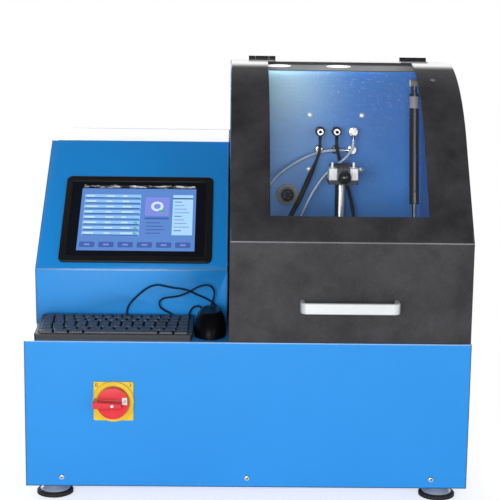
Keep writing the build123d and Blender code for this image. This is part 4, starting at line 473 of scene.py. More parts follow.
# Four levelling feet: a ribbed pad of moulded rubber under a dished steel bell, with a threaded stud
# that screws into the base and a hexagon nut that locks it.
foot_rubber = grained("foot_rubber", (0.016, 0.016, 0.017), 0.66, 700.0, 0.0006, tone=0.2)
bell_steel = grained("bell_steel", (0.66, 0.68, 0.68), 0.22, 500.0, 0.0002, tone=0.25, metallic=0.4)
upright = (0, 0, 1)
foot_half_span, front_foot, back_foot = 0.318, -0.293, 0.323
feet = [(x, y, 0) for x in (-foot_half_span, foot_half_span) for y in (front_foot, back_foot)]
pad = [(0, 0), (27, 0), (28.5, 0.6), (30, 1.6), (30, 3.0), (29, 3.4)]
pad += [(29, 4.2), (30, 4.6), (30, 6.2), (28.4, 7.8), (26.2, 8.0), (0, 8.0)]
bell = [(0, 8.2), (24, 8.2), (24.3, 9.2), (23.2, 10.8), (19.6, 12.8)]
bell += [(16, 15.0), (14, 17.8), (12.2, 19.4), (7.0, 20.0), (6.0, 20.2)]
for thread in range(4):
    bell += [(6.0, 20.4 + thread * 1.3), (5.4, 21.0 + thread * 1.3)]
bell += [(5.6, 25.8), (0, 25.8)]
nut = [(6.2, 20.6), (8.8, 20.6), (9.8, 21.2), (9.8, 25.0), (8.8, 25.6), (6.2, 25.6)]
pads = [turned("pad", pad, foot, upright, 64) for foot in feet]
settle(joined("foot_pad_rings", pads), "cabinet", foot_rubber, "rubber", "foot_pads")
bells = [turned("bell", bell, foot, upright, 64) for foot in feet]
settle(joined("foot_bells", bells), "cabinet", bell_steel, "zinc_steel", "foot_studs")
nuts = [turned("nut", nut, foot, upright, 6) for foot in feet]
settle(joined("foot_nuts", nuts), "cabinet", zinc, "zinc_steel")

# The console is one cover of folded sheet: an upright lower panel, a sloped screen panel and a flat
# top. The tower behind the hood and the louvred rear panel are made and painted the same way.
softened("console_cover", "cabinet", blue_paint, "blue_paint", 0.0007)
softened("tower_cover", "cabinet", blue_paint, "blue_paint", 0.0006)
softened("rear_panel", "cabinet", blue_paint, "blue_paint", 0.0004)
softened("cable_grommets", "cabinet", foot_rubber, "rubber", 0.0003)

# The touch screen: a moulded black bezel with a rounded rim, a sheet of glass set back in it, and the
# lit picture: a blue page with a table, a gauge on a violet field, a pale list and a row of keys.
satin_black = grained("satin_black", (0.008, 0.008, 0.009), 0.36, 1500.0, 0.00015, tone=0.1)
softened("screen_bezel", "cabinet", satin_black, "black_plastic", 0.0012, segments=3)
softened("screen_body", "cabinet", satin_black, "black_plastic", 0.0010)
slope_angle = atan2(0.200, 0.232)
slope_foot = Vector((-0.1925, bench_front + 0.130, deck + 0.094))
up_slope = Vector((0, cos(slope_angle), sin(slope_angle)))
off_slope = Vector((0, -sin(slope_angle), cos(slope_angle)))


def on_slope(x, along, proud):
    return slope_foot + Vector((x, 0, 0)) + up_slope * along + off_slope * proud


dark_glass = grained("dark_glass", (0.006, 0.008, 0.014), 0.06, 30.0, 0.00002, tone=0.2, uneven=0.02,
                     coat_weight=0.6, coat_roughness=0.03)
softened("screen_glass", "cabinet", dark_glass, "screen_glass", 0.0003)


def lit(name, colour, strength=0.95):
    """A patch of a lit picture, a little brighter or duller from place to place."""
    unlit = tuple(part * 0.25 for part in colour)
    material, sockets, place = new_finish(
        name, roughness=0.12, emission_strength=strength, specular_ior_level=0.4, base_color=(*unlit, 1)
    )
    dull = tuple(part * 0.86 for part in colour)
    uneven = noise_of(place, 18.0) * 0.8 + noise_of(place, 900.0, 1.0) * 0.2
    place.feed(sockets["Emission Color"], blend_of(uneven, dull, colour))
    return material


picture_finishes = [
    lit("page_blue", (0.115, 0.250, 0.620)),
    lit("row_pale", (0.285, 0.560, 0.960)),
    lit("list_pale", (0.420, 0.700, 1.000)),
    lit("line_dark", (0.020, 0.055, 0.200)),
    lit("gauge_violet", (0.230, 0.270, 0.800)),
    lit("key_dusk", (0.060, 0.130, 0.400)),
    lit("mark_green", (0.10, 0.42, 0.32), 0.9),
    lit("mark_pale", (0.62, 0.82, 1.00)),
]
page, stripe, pale, dark, violet, dusk, green, milky = range(8)
picture_half = 0.1010
picture_middle = -0.0005
picture_low, picture_high = 0.0395, 0.1835
glass_face = 0.0031
picture = bmesh.new()


def tile(x0, x1, y0, y1, layer, finish, corner=0.0):
    """A flat patch of the picture, in shares of its width and height, in its own thin layer."""
    tall = picture_high - picture_low
    low_x, high_x = (picture_middle + picture_half * (2 * x - 1) for x in (x0, x1))
    low_y, high_y = (picture_low + y * tall for y in (y0, y1))
    points = [(high_x, high_y), (low_x, high_y), (low_x, low_y), (high_x, low_y)]
    if corner:
        rounded = []
        for turn, (x, y) in enumerate(points):
            middle_x = x + (corner if x == low_x else -corner)
            middle_y = y + (corner if y == low_y else -corner)
            for angle in (radians(90 * turn + 30 * step) for step in range(4)):
                rounded.append((middle_x + corner * cos(angle), middle_y + corner * sin(angle)))
        points = rounded
    top = [picture.verts.new(on_slope(x, y, glass_face + layer * 0.00012)) for x, y in points]
    base = [picture.verts.new(on_slope(x, y, glass_face - 0.0002)) for x, y in points]
    faces = [picture.faces.new(top), picture.faces.new(base[::-1])]
    for here in range(len(points)):
        after = (here + 1) % len(points)
        faces.append(picture.faces.new((top[here], base[here], base[after], top[after])))
    for face in faces:
        face.material_index = finish


tile(0, 1, 0, 1, 0, page)
for line in range(8):
    top = 0.900 - line * 0.086
    tile(0.030, 0.520, top - 0.066, top, 1, stripe, 0.0006)
    tile(0.036, 0.514, top - 0.064, top - 0.050, 2, dark)
    tile(0.045, 0.110 + 0.02 * (line % 3), top - 0.036, top - 0.018, 2, milky)
    tile(0.220, 0.290 - 0.02 * (line % 2), top - 0.036, top - 0.018, 2, milky)
    tile(0.360, 0.400 + 0.02 * (line % 4), top - 0.036, top - 0.018, 2, milky)
    if line > 4:
        tile(0.470, 0.500, top - 0.040, top - 0.016, 2, green)
tile(0.560, 0.770, 0.560, 0.860, 1, violet, 0.0030)
tile(0.612, 0.718, 0.632, 0.788, 2, milky, 0.0098)
tile(0.636, 0.694, 0.668, 0.752, 3, violet, 0.0050)
tile(0.680, 0.735, 0.610, 0.650, 4, green, 0.0010)
tile(0.560, 0.770, 0.500, 0.530, 1, dusk)
for line in range(4):
    top = 0.450 - line * 0.055
    tile(0.575, 0.700 + 0.02 * (line % 3), top - 0.014, top, 1, dusk)
tile(0.800, 0.975, 0.250, 0.900, 1, pale, 0.0006)
tile(0.800, 0.975, 0.830, 0.850, 2, dark)
for line in range(9):
    top = 0.790 - line * 0.058
    tile(0.815, 0.880 + 0.022 * (line % 4), top - 0.012, top, 2, violet if line % 4 else dusk)
for key in range(6):
    side = 0.020 + key * 0.163
    tile(side, side + 0.130, 0.050, 0.135, 1, dusk, 0.0020)
    tile(side + 0.040, side + 0.090, 0.080, 0.105, 2, violet, 0.0010)
settle(into_piece("screen_picture", picture, 30), "cabinet", picture_finishes, "screen_glass")

# A strip of clear protective film is still stuck along the top of the glass. It has lifted and creased; where
# the creases catch the light, white glints are painted into its colour and opacity, and the rest can't be
# seen.
film = bmesh.new()
film_steps = 120
film_half = 0.0985
film_rows = []
for row, along in enumerate((0.1850, 0.1868, 0.1886, 0.1904)):
    film_row = []
    for step in range(film_steps + 1):
        share = step / film_steps
        lift = abs(0.0005 + 0.0005 * sin(41 * share + row) + 0.0004 * sin(97 * share - 1.7 * row))
        wave = 0.0006 * sin(23 * share + 0.6 * row)
        across = film_half * (2 * share - 1)
        film_row.append(film.verts.new(on_slope(across, along + wave, glass_face + 0.0002 + lift)))
    film_rows.append(film_row)
for low_row, high_row in zip(film_rows, film_rows[1:]):
    for step in range(film_steps):
        film.faces.new((low_row[step], low_row[step + 1], high_row[step + 1], high_row[step]))
film_finish, film_sockets, film_place = new_finish("clear_film", roughness=0.15, specular_ior_level=1.0)
# Painted glints: the film turns opaque and white where the crease pattern is high.
crease = noise_of(drawn_out(film_place, (1, 7, 7)), 48.0, 3.0)
film_place.feed(film_sockets["Alpha"], ramp_of(crease, 0.47, 0.56, 0.06, 1.0))
film_place.feed(film_sockets["Base Color"], blend_of(crease, (0.85, 0.88, 0.92), (1.0, 1.0, 1.0)))
settle(into_piece("screen_film", film, 60), "cabinet", film_finish, "screen_glass")

# The main switch: a moulded yellow plate with a round collar, a red knob whose bar points to off, a
# screw in the middle of the bar, a white index on the disc and the figures of the two positions.
def moulded(name, colour, crease, reach, rough):
    """Glossy moulded plastic, with painted shade in the crease colour where one form meets another."""
    material, sockets, place = new_finish(name, coat_weight=0.2, specular_ior_level=0.3)
    open_share = place.node("AmbientOcclusion", {"samples": 8}, {"Distance": reach}, output=1)
    cloud = noise_of(place, 120.0, 4.0)
    fine = noise_of(place, 1400.0, 2.0)
    pale = tuple(min(1.0, part + 0.035) for part in colour)
    skin = blend_of(cloud, colour, pale)
    painted_crease_shade = ramp_of(open_share, 0.50, 0.95, 1.0, 0.0)
    place.feed(sockets["Base Color"], blend_of(painted_crease_shade * 0.85, skin, crease))
    place.feed(sockets["Roughness"], cloud * 0.1 + (rough - 0.05))
    place.feed(sockets["Normal"], relief_of(fine, 0.4, 0.0001))
    return material


# The second colour of each is the painted shade in its creases.
signal_yellow = moulded("signal_yellow", (0.98, 0.650, 0.020), (0.62, 0.33, 0.01), 0.003, 0.26)
signal_red = moulded("signal_red", (0.90, 0.020, 0.036), (0.36, 0.0, 0.004), 0.012, 0.24)
mark_white = grained("mark_white", (0.86, 0.86, 0.84), 0.35, 900.0, 0.0001, tone=0.03)
softened("switch_plate", "cabinet", signal_yellow, "yellow_plastic", 0.0008, segments=3)
switch_x, switch_z = -0.2165, 0.170


def slim_spindle(place):
    """Draws the spindle in a little behind the disc, so that it turns clear of its bores."""
    across = Vector((place.x - switch_x, 0.0, place.z - switch_z))
    behind_disc = place.y > bench_front - 0.0075 and across.length < 0.0060
    return place - across * 0.03 if behind_disc else place


softened(
    "switch_knob", "switch_handle", signal_red, "red_plastic", 0.0009, segments=3, moulded_to=slim_spindle
)
softened("switch_block", "cabinet", satin_black, "black_plastic", 0.0015)
plate_face = bench_front - 0.003
disc_face = bench_front - 0.0194
bar_face = bench_front - 0.0324
washer = [(0, 0), (2.9, 0), (2.9, 0.4), (2.4, 0.9), (0.9, 1.0), (0, 0.6)]
knob_screw = turned("knob_screw", washer, (switch_x, bar_face + 0.0004, switch_z), forward, 28)
settle(knob_screw, "switch_handle", zinc, "zinc_steel")
index_place = (switch_x + 0.0192, disc_face, switch_z + 0.0045)
index = bar_along("knob_index", index_place, forward, 0.5 * pi, 0.0116, 0.0078, -0.0003, 0.0004)
settle(index, "switch_handle", mark_white, "yellow_plastic")


def figure(name, text, x, y, z, size, body):
    """A raised black figure standing on a front face."""
    words = bpy.data.curves.new(name, "FONT")
    words.body = text
    words.size = size
    words.extrude = 0.00015
    words.align_x = "CENTER"
    words.align_y = "CENTER"
    piece = stood(name, words)
    piece.matrix_world = Matrix.Translation((x, y, z)) @ Matrix.Rotation(radians(90), 4, "X")
    settle(piece, body, satin_black, "black_plastic")


figure_z = switch_z + 0.0265
figure("figure_off", "0", switch_x - 0.0275, plate_face - 0.0001, figure_z, 0.0085, "cabinet")
figure("figure_here", "0", switch_x + 0.0193, disc_face - 0.0004, switch_z + 0.0045, 0.0070, "switch_handle")
figure("figure_on", "1", switch_x + 0.0275, plate_face - 0.0001, figure_z, 0.0085, "cabinet")

# The keyboard is a flat moulded wedge with black caps in six rows, and the mouse a black moulded shell
# split into two buttons at its nose, with a ribbed rubber wheel between them.
key_black = grained("key_black", (0.042, 0.043, 0.056), 0.36, 1600.0, 0.0002, tone=0.22)
case_black = grained("case_black", (0.020, 0.020, 0.024), 0.42, 1600.0, 0.0002, tone=0.12)
shell_black = grained(
    "shell_black", (0.004, 0.004, 0.005), 0.30, 900.0, 0.00004, tone=0.1, specular_ior_level=0.06
)
softened("keyboard_body", "cabinet", case_black, "black_plastic", 0.0007)
softened("keys_character_rows", "character_keys", key_black, "key_plastic", 0.0006)
softened("keys_function_row", "function_keys", key_black, "key_plastic", 0.0006)
mouse_low, mouse_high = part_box("mouse_body")
mouse_middle = (mouse_low + mouse_high) / 2


def waisted(place):
    """Draws the mouse's block in toward its nose and its top, as a hand-held shell is."""
    along = (place.y - mouse_middle.y) / (mouse_high.y - mouse_middle.y)
    share = max(0.0, min(1.0, (along + 0.23) / 1.23))
    rise = max(0.0, (place.z - mouse_low.z) / (mouse_high.z - mouse_low.z) - 0.35) / 0.65
    off = place.x - mouse_middle.x
    kept_width = (1 - 0.46 * share * share) * (1 - 0.34 * rise)
    drawn_in = max(0.0, abs(off) - 0.0075) * (1 - kept_width)
    tail = 1 - max(0.0, -along) * 0.36 * rise
    return Vector((
        place.x - (drawn_in if off > 0 else -drawn_in),
        mouse_middle.y + (place.y - mouse_middle.y) * tail,
        place.z,
    ))


softened("mouse_body", "cabinet", shell_black, "gloss_black", 0.0012, segments=3, moulded_to=waisted)
for side in ("left", "right"):
    softened("mouse_button_" + side, side + "_button", shell_black, "gloss_black", 0.0008, segments=3,
             moulded_to=waisted)
wheel_low, wheel_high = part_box("mouse_wheel")
wheel_centre = (wheel_low + wheel_high) / 2
tread = [(1.6, -4.7), (1.6, -3.0), (10.5, -3.0), (11.4, -2.6), (12.0, -1.8)]
tread += [(12.0, 1.8), (11.4, 2.6), (10.5, 3.0), (1.6, 3.0), (1.6, 4.7)]
wheel = turned("wheel_tyre", tread, wheel_centre, (1, 0, 0), 60)
for vert in wheel.data.vertices:
    spoke = Vector((0, vert.co.y - wheel_centre.y, vert.co.z - wheel_centre.z))
    if spoke.length > 0.0115 and vert.index % 2:
        vert.co -= spoke.normalized() * 0.0005
settle(wheel, "scroll_wheel", foot_rubber, "rubber", "mouse_wheel")

# The test chamber: a lining of blue lacquered sheet with a low lip, a grey lamp bar with two round
# lenses across its top, a rubber seal under the hood's edge and a stainless drip tray on its floor.
def brushed_lining(name, colour):
    """Blue lacquer over brushed sheet: level scratches, painted glints as bright flecks high up, a painted
    pool of lamp light at its upper left and a painted lighter blue low down.
    """
    material, sockets, place = new_finish(name, coat_weight=0.2, coat_roughness=0.2, specular_ior_level=0.3)
    x, z = part_of(place, 0), part_of(place, 2)
    scratch = noise_of(drawn_out(place, (6, 6, 260)), 4.0, 4.0)
    # Painted light: a pool of lamp light toward the upper left, glints as bright flecks high up, and a
    # brighter, bluer colour low down where the hood shades the chamber.
    leftward = soft_ramp(x, 0.03, 0.21, 1.0, 0.0)
    upward_share = soft_ramp(z, 0.56, 0.68, 0.42, 1.0)
    painted_lamp_wash = leftward * upward_share * (scratch * 0.5 + 0.75)
    painted_fleck_glint = ramp_of(noise_of(place, 260.0), 0.60, 0.74, 0.0, 0.42) * (upward_share * 0.8)
    deep = tuple(part * 0.66 for part in colour)
    bright = tuple(min(1.0, part * 1.34) for part in colour)
    flecked = blend_of(painted_fleck_glint, blend_of(scratch, deep, bright), (0.55, 0.72, 0.95))
    with_painted_wash = blend_of(painted_lamp_wash * 0.75, flecked, (0.62, 0.94, 1.0))
    with_painted_low_light = blend_of(soft_ramp(z, 0.42, 0.66, 0.50, 0.0), with_painted_wash, (0.085, 0.410, 1.0))
    above_lamp = z > 0.7045
    place.feed(sockets["Base Color"], blend_of(above_lamp, with_painted_low_light, (0.22, 0.23, 0.24)))
    place.feed(sockets["Roughness"], scratch * 0.2 + 0.28)
    place.feed(sockets["Normal"], relief_of(scratch, 0.15, 0.0002))
    return material


lining = brushed_lining("chamber_lining", (0.034, 0.205, 0.640))
softened("chamber_tub", "cabinet", lining, "blue_paint", 0.0005)
lamp_grey, lamp_sockets, lamp_place = new_finish("lamp_grey", emission_strength=2.4)
above_edge = ramp_of(part_of(lamp_place, 2), 0.6948, 0.6962, 0.0, 1.0)
lamp_cloud = noise_of(lamp_place, 22.0, 4.0)
lamp_skin = blend_of(lamp_cloud, (0.17, 0.18, 0.18), (0.42, 0.43, 0.42))
lamp_place.feed(lamp_sockets["Base Color"], blend_of(above_edge, (0.02, 0.02, 0.022), lamp_skin))
lamp_place.feed(lamp_sockets["Roughness"], lamp_cloud * 0.2 + 0.3)
underside = part_of(turn_of(lamp_place), 2) < -0.9
brighter_left = ramp_of(part_of(lamp_place, 0), 0.02, 0.24, 1.0, 0.25)
diffuser = blend_of(underside * brighter_left, (0.0, 0.0, 0.0), (0.86, 0.94, 1.0))
lamp_place.feed(lamp_sockets["Emission Color"], diffuser)
softened("lamp_bar", "cabinet", lamp_grey, "grey_plastic", 0.0008)
lamp_glow, glow_sockets, glow_place = new_finish("lamp_lens", roughness=0.3, emission_strength=0.9)
glow_cloud = noise_of(glow_place, 60.0)
glow_place.feed(glow_sockets["Emission Color"], blend_of(glow_cloud, (0.94, 0.95, 0.95), (1.0, 1.0, 1.0)))
glow_place.feed(glow_sockets["Base Color"], blend_of(glow_cloud, (0.70, 0.70, 0.70), (0.80, 0.80, 0.80)))
lens_profile = [(0, 0), (1, 0), (0.96, 0.35), (0.80, 0.70), (0.50, 0.92), (0, 1)]
lens_half_width, lens_proud, lens_half_height = 22.5, 1.2, 2.4
lenses = []
for x in (0.0535, 0.1612):
    lens_form = turned("lens", lens_profile, (0, 0, 0), forward, 48)
    lens_form.data.transform(Matrix.Diagonal((lens_half_width, lens_proud, lens_half_height, 1)))
    lens_form.data.transform(Matrix.Translation((x, -0.0084, 0.7030)))
    lenses.append(lens_form)
settle(joined("lamp_lenses", lenses), "cabinet", lamp_glow, "grey_plastic")
seal_grey = grained("seal_grey", (0.10, 0.105, 0.11), 0.6, 700.0, 0.0003, tone=0.25)
seal = bar_along("hood_seal", (0.1635, 0.0035, 0.7084), forward, 0.0, 0.3760, 0.0050, 0.0, 0.0010)
settle(seal, "cabinet", seal_grey, "rubber")
tray_steel = grained("tray_steel", (0.55, 0.56, 0.57), 0.32, 260.0, 0.0002, stretch=(1, 12, 1), metallic=1.0)
softened("drip_tray", "cabinet", tray_steel, "stainless", 0.0004)

# Fittings on the chamber's back: nickel-plated brass quick couplers with hexagons, barbs and release
# sleeves, screwed through the sheet, and a round zinc signal socket with a dark insert.
def coupler_plate(name):
    """Nickel plate. The sleeves and bores of the two left columns and the middle lower one are black."""
    material, sockets, place = new_finish(name, metallic=1.0)
    x, z = part_of(place, 0) - 0.1295, part_of(place, 2) - 0.5525
    pitch_x, pitch_z = 0.030, 0.034
    column = place.sum("ROUND", x * (1 / pitch_x))
    row = place.sum("ROUND", z * (1 / pitch_z))
    off_x, off_z = x - column * pitch_x, z - row * pitch_z
    reach = place.sum("SQRT", off_x * off_x + off_z * off_z)
    blackened = (column < 1.5) * (row > -0.5)
    bore = (reach < 0.0031) * (row > 0.5) * blackened
    outer = (reach > 0.0060) * blackened
    middle_lower = (column > 0.5) * (column < 1.5) * (row < 0.5) * (row > -0.5)
    grain = noise_of(place, 700.0, 3.0)
    plate = blend_of(noise_of(place, 130.0), (0.50, 0.50, 0.49), (0.92, 0.91, 0.88))
    black = outer | bore | middle_lower * 0.9
    place.feed(sockets["Base Color"], blend_of(black, plate, (0.012, 0.012, 0.013)))
    place.feed(sockets["Roughness"], grain * 0.12 + 0.16)
    place.feed(sockets["Normal"], relief_of(grain, 0.5, 0.0001))
    return material


nickel = coupler_plate("nickel_plate")
softened("coupler_bodies", "cabinet", nickel, "nickel_brass", 0.0005)
softened("coupler_sleeves", "release_sleeves", nickel, "nickel_brass", 0.0006)
dull_zinc = grained("dull_zinc", (0.21, 0.21, 0.205), 0.42, 500.0, 0.0002, tone=0.25, metallic=0.6)
softened("signal_socket", "cabinet", dull_zinc, "zinc_steel", 0.0005)
insert_profile = [(0, 0.2), (11.8, 0.2), (11.8, 3.0), (11.0, 3.6), (0, 3.6)]
insert_place = (0.073, chamber_back - 0.003, deck + 0.2005)
insert = turned("socket_insert", insert_profile, insert_place, forward, 48)
settle(insert, "cabinet", recess_black, "black_plastic")

# The injector clamp: a chromed post on the tray, a blackened carrier that slides on it, a bright yoke
# with a V-notched jaw, and a screw with a black ball knob. Below it stands the spray chamber.
def polished(name, split):
    """Chrome with its reflections painted into its colour: painted dark reflections on its left, where it
    mirrors the inside of the hood, and at its far edge, and painted bright bands between.
    """
    material, sockets, place = new_finish(name, metallic=0.45)
    leftness = part_of(turn_of(place), 0)
    lit_side = ramp_of(leftness, split - 0.05, split + 0.05, 0.0, 1.0)
    far_side = ramp_of(leftness, 0.72, 0.86, 1.0, 0.0)
    # Painted reflections: bright bands and streaks, dark on the left side and at the far edge.
    streak = noise_of(drawn_out(place, (1, 1, 0.05)), 420.0, 3.0)
    painted_bands = place.node(
        "TexWave", {"bands_direction": "X"}, {"Vector": place, "Scale": 42.0, "Distortion": 0.4}
    )
    bright = blend_of(painted_bands * 0.75 + streak * 0.25, (0.16, 0.17, 0.19), (0.98, 0.98, 1.0))
    place.feed(sockets["Base Color"], blend_of(lit_side * far_side, (0.03, 0.03, 0.035), bright))
    place.feed(sockets["Roughness"], streak * 0.08 + 0.08)
    return material


post_chrome = polished("post_chrome", -0.42)
burnished = grained("burnished_steel", (0.035, 0.035, 0.040), 0.34, 700.0, 0.0002, metallic=0.7)
milled = grained(
    "milled_aluminium", (0.80, 0.80, 0.81), 0.26, 420.0, 0.0002, stretch=(1, 8, 8), metallic=0.85
)
softened("clamp_post", "cabinet", post_chrome, "chrome", 0.0008)
softened("clamp_head", "clamp_carrier", burnished, "dark_steel", 0.0006)
yoke_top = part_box("clamp_yoke")[1].z
yoke_metal, yoke_sockets, yoke_place = new_finish("yoke_metal", metallic=0.2)
from_middle = abs(part_of(yoke_place, 0) - 0.1653)
# The yoke is near black in its middle below the top band, and near white elsewhere.
dark_middle = ramp_of(from_middle, 0.0110, 0.0122, 1.0, 0.0) * (part_of(yoke_place, 2) < yoke_top - 0.0042)
yoke_cloud = noise_of(yoke_place, 90.0, 4.0)
yoke_tone = blend_of(yoke_cloud, (0.72, 0.73, 0.76), (1.0, 1.0, 1.0))
yoke_place.feed(yoke_sockets["Base Color"], blend_of(dark_middle * 0.93, yoke_tone, (0.02, 0.02, 0.022)))
yoke_place.feed(yoke_sockets["Roughness"], yoke_cloud * 0.2 + 0.2)
softened("clamp_yoke", "clamp_carrier", yoke_metal, "machined_aluminium", 0.0006)
softened("clamp_jaw", "clamp_slider", milled, "machined_aluminium", 0.0005)
knob_black = grained("knob_black", (0.012, 0.009, 0.008), 0.14, 900.0, 0.00004, tone=0.1)
softened("clamp_knob", "clamp_screw", knob_black, "gloss_black", 0.0003)
softened("spray_chamber", "cabinet", milled, "aluminium", 0.0010)


# The hood: one folded and rolled charcoal sheet with welded cheeks, a clear acrylic window behind its
# cut-out and a bow handle of satin aluminium. Two leaf hinges carry it at the back.
def textured_coat(name, colour, rough):
    """Fine-textured powder coat: a dense pebble grain, sparse pale specks, a painted highlight line on its
    front fold and a painted white sheen on its top.
    """
    material, sockets, place = new_finish(name, specular_ior_level=0.25)
    pebble = noise_of(place, 1300.0, 2.0, 0.7)
    blotch = ramp_of(noise_of(place, 16.0, 7.0, 0.66), 0.34, 0.68, 0.0, 1.0)
    specks = ramp_of(noise_of(place, 420.0, 1.0), 0.72, 0.77, 0.0, 0.5)
    deep = tuple(part * 0.56 for part in colour)
    bright = tuple(part * 1.62 for part in colour)
    tone = blend_of(blotch * 0.8 + pebble * 0.2, deep, bright)
    flecked = blend_of(specks, tone, (0.16, 0.16, 0.17))
    height = part_of(place, 2)
    # A painted highlight line along the hood's low front fold, and a painted white sheen on its top where it
    # is seen at a flat angle.
    painted_fold_highlight = fold_masks(place, 0.0030)[0] * (height < 0.450)
    with_painted_folds = blend_of(painted_fold_highlight * (pebble * 0.3 + 0.70), flecked, (0.82, 0.82, 0.84))
    painted_sheen = grazed(place, 0.66, 0.76) * (height > 0.60)
    place.feed(sockets["Base Color"], blend_of(painted_sheen, with_painted_folds, (0.96, 0.96, 0.95)))
    place.feed(sockets["Metallic"], painted_sheen)
    place.feed(sockets["Roughness"], (pebble * 0.16 + (rough - 0.08)) * (1.0 - painted_sheen * 0.65))
    place.feed(sockets["Normal"], relief_of(pebble, 0.4, 0.0003))
    return material


charcoal = textured_coat("charcoal_coat", (0.041, 0.040, 0.044), 0.50)
softened("hood_shell", "hood", charcoal, "charcoal_paint", 0.0007)
satin_aluminium = grained("satin_aluminium", (0.80, 0.81, 0.82), 0.34, 520.0, 0.0002, tone=0.03,
                          stretch=(1, 10, 10), metallic=0.25)
handle = softened("hood_handle", "hood", satin_aluminium, "aluminium", 0.0016, segments=3)
handle_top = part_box("hood_handle")[1].z
for vert in handle.data.vertices:
    vert.co.z = handle_top + (vert.co.z - handle_top) * 0.885
softened("hood_screws", "hood", dull_zinc, "dark_steel", 0.0004)
acrylic, acrylic_sockets, acrylic_place = new_finish("clear_acrylic", specular_ior_level=0.6)
smear = noise_of(acrylic_place, 7.0, 6.0, 0.6)
acrylic_place.feed(acrylic_sockets["Alpha"], ramp_of(smear, 0.35, 0.70, 0.006, 0.028))
acrylic_place.feed(acrylic_sockets["Roughness"], smear * 0.10 + 0.04)
acrylic_place.feed(acrylic_sockets["Base Color"], blend_of(smear, (0.80, 0.86, 0.94), (0.92, 0.96, 1.0)))
window_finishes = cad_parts["hood_window"].data.materials
window_finishes.clear()
window_finishes.append(acrylic)

# Two hinges of pressed steel with blackened knuckles and a pin through each. Three countersunk screws
# in every leaf hold one to the hood and the other to the tower.
leaf_steel, leaf_sockets, leaf_place = new_finish("leaf_steel", metallic=0.3)
leaf_grain = noise_of(leaf_place, 600.0, 3.0)
knuckle = part_of(leaf_place, 2) > 0.7136
leaf_grey = blend_of(leaf_grain, (0.24, 0.24, 0.25), (0.36, 0.36, 0.37))
leaf_place.feed(leaf_sockets["Base Color"], blend_of(knuckle, leaf_grey, (0.012, 0.012, 0.014)))
leaf_place.feed(leaf_sockets["Roughness"], leaf_grain * 0.15 + 0.35)
softened("hinge_leaves_hood", "hood", leaf_steel, "dark_steel", 0.0004)
softened("hinge_leaves_body", "cabinet", leaf_steel, "dark_steel", 0.0004)
softened("hinge_pins", "cabinet", zinc, "zinc_steel", 0.0003)
leaf_top = deck + 0.443 + 0.002
countersunk = [(0, -1.0), (0.6, -1.0), (0.9, 0.1), (3.0, 0.1), (3.2, -0.6)]
for body, y in (("hood", -0.0155), ("cabinet", 0.0170)):
    leaf_screws = []
    for middle in (0.0235, 0.2955):
        for step in (-1, 0, 1):
            place = (middle + step * 0.016, y + (0.004 if step else -0.003), leaf_top)
            leaf_screws.append(turned("leaf_screw", countersunk, place, upright, 20))
    settle(joined("leaf_screws_" + body, leaf_screws), body, zinc, "zinc_steel")

# The gas strut: a blackened steel tube with a paler band near its top and a crimped lower end, a
# polished rod, and forged ends on a bracket under the hood and on a stud low in the chamber.
strut_black, strut_sockets, strut_place = new_finish("strut_black", coat_weight=0.2)
strut_height = part_of(strut_place, 2)
strut_grain = noise_of(strut_place, 500.0, 3.0)
band = (strut_height > 0.6335) * (strut_height < 0.6540)
collar = (strut_height < 0.4895) * (strut_height > 0.4700)
groove = (strut_height > 0.4895) * (strut_height < 0.4912)
# A painted highlight down the front of the tube and on its lower collar, broken at the groove.
painted_glint = ramp_of(abs(part_of(turn_of(strut_place), 0) - 0.04), 0.10, 0.20, 1.0, 0.0)
lit_steel = blend_of(strut_grain, (0.24, 0.21, 0.21), (0.40, 0.36, 0.36))
strut_tone = blend_of(painted_glint * (1.0 - groove) * 0.75, (0.010, 0.010, 0.012), lit_steel)
strut_tone = blend_of(band * 0.95, strut_tone, (0.42, 0.40, 0.42))
strut_tone = blend_of(collar * painted_glint * 0.6, strut_tone, (0.42, 0.40, 0.38))
strut_place.feed(strut_sockets["Base Color"], strut_tone)
strut_place.feed(strut_sockets["Roughness"], strut_grain * 0.1 + 0.28 + band * 0.2)
softened("strut_tube", "strut_cylinder", strut_black, "dark_steel", 0.0008)
softened("strut_rod", "strut_piston", post_chrome, "chrome", 0.0005)
# The top bracket's near-white colour is a painted glint.
softened("strut_bracket_top", "hood", zinc_painted_glint, "dark_steel", 0.0005)
softened("strut_bracket_foot", "cabinet", zinc, "zinc_steel", 0.0006)

# The drive in the base: enamelled motor, steel coupling, cast pump, rail, polyethylene tank and fan,
# with the control unit on the deck inside the console and the mains inlet at the back.
enamel = grained("grey_enamel", (0.20, 0.24, 0.28), 0.36, 500.0, 0.0003, tone=0.1)
cast_grey = grained("cast_grey", (0.34, 0.34, 0.35), 0.5, 420.0, 0.0008, tone=0.12, metallic=0.5)
milk_white = grained("milk_white", (0.72, 0.71, 0.66), 0.42, 200.0, 0.0003, tone=0.05)
softened("drive_motor", "cabinet", enamel, "motor_paint", 0.0012)
softened("drive_shaft", "drive_line", zinc, "zinc_steel", 0.0008)
softened("pressure_pump", "cabinet", cast_grey, "cast_aluminium", 0.0012)
softened("common_rail", "cabinet", zinc, "zinc_steel", 0.0008)
softened("fuel_tank", "cabinet", milk_white, "tank_plastic", 0.0015)
softened("fan_frame", "cabinet", satin_black, "black_plastic", 0.0006)
softened("fan_rotor", "fan_wheel", satin_black, "black_plastic", 0.0004)
softened("control_unit", "cabinet", milled, "aluminium", 0.0006)
softened("mains_inlet", "cabinet", satin_black, "black_plastic", 0.0004)

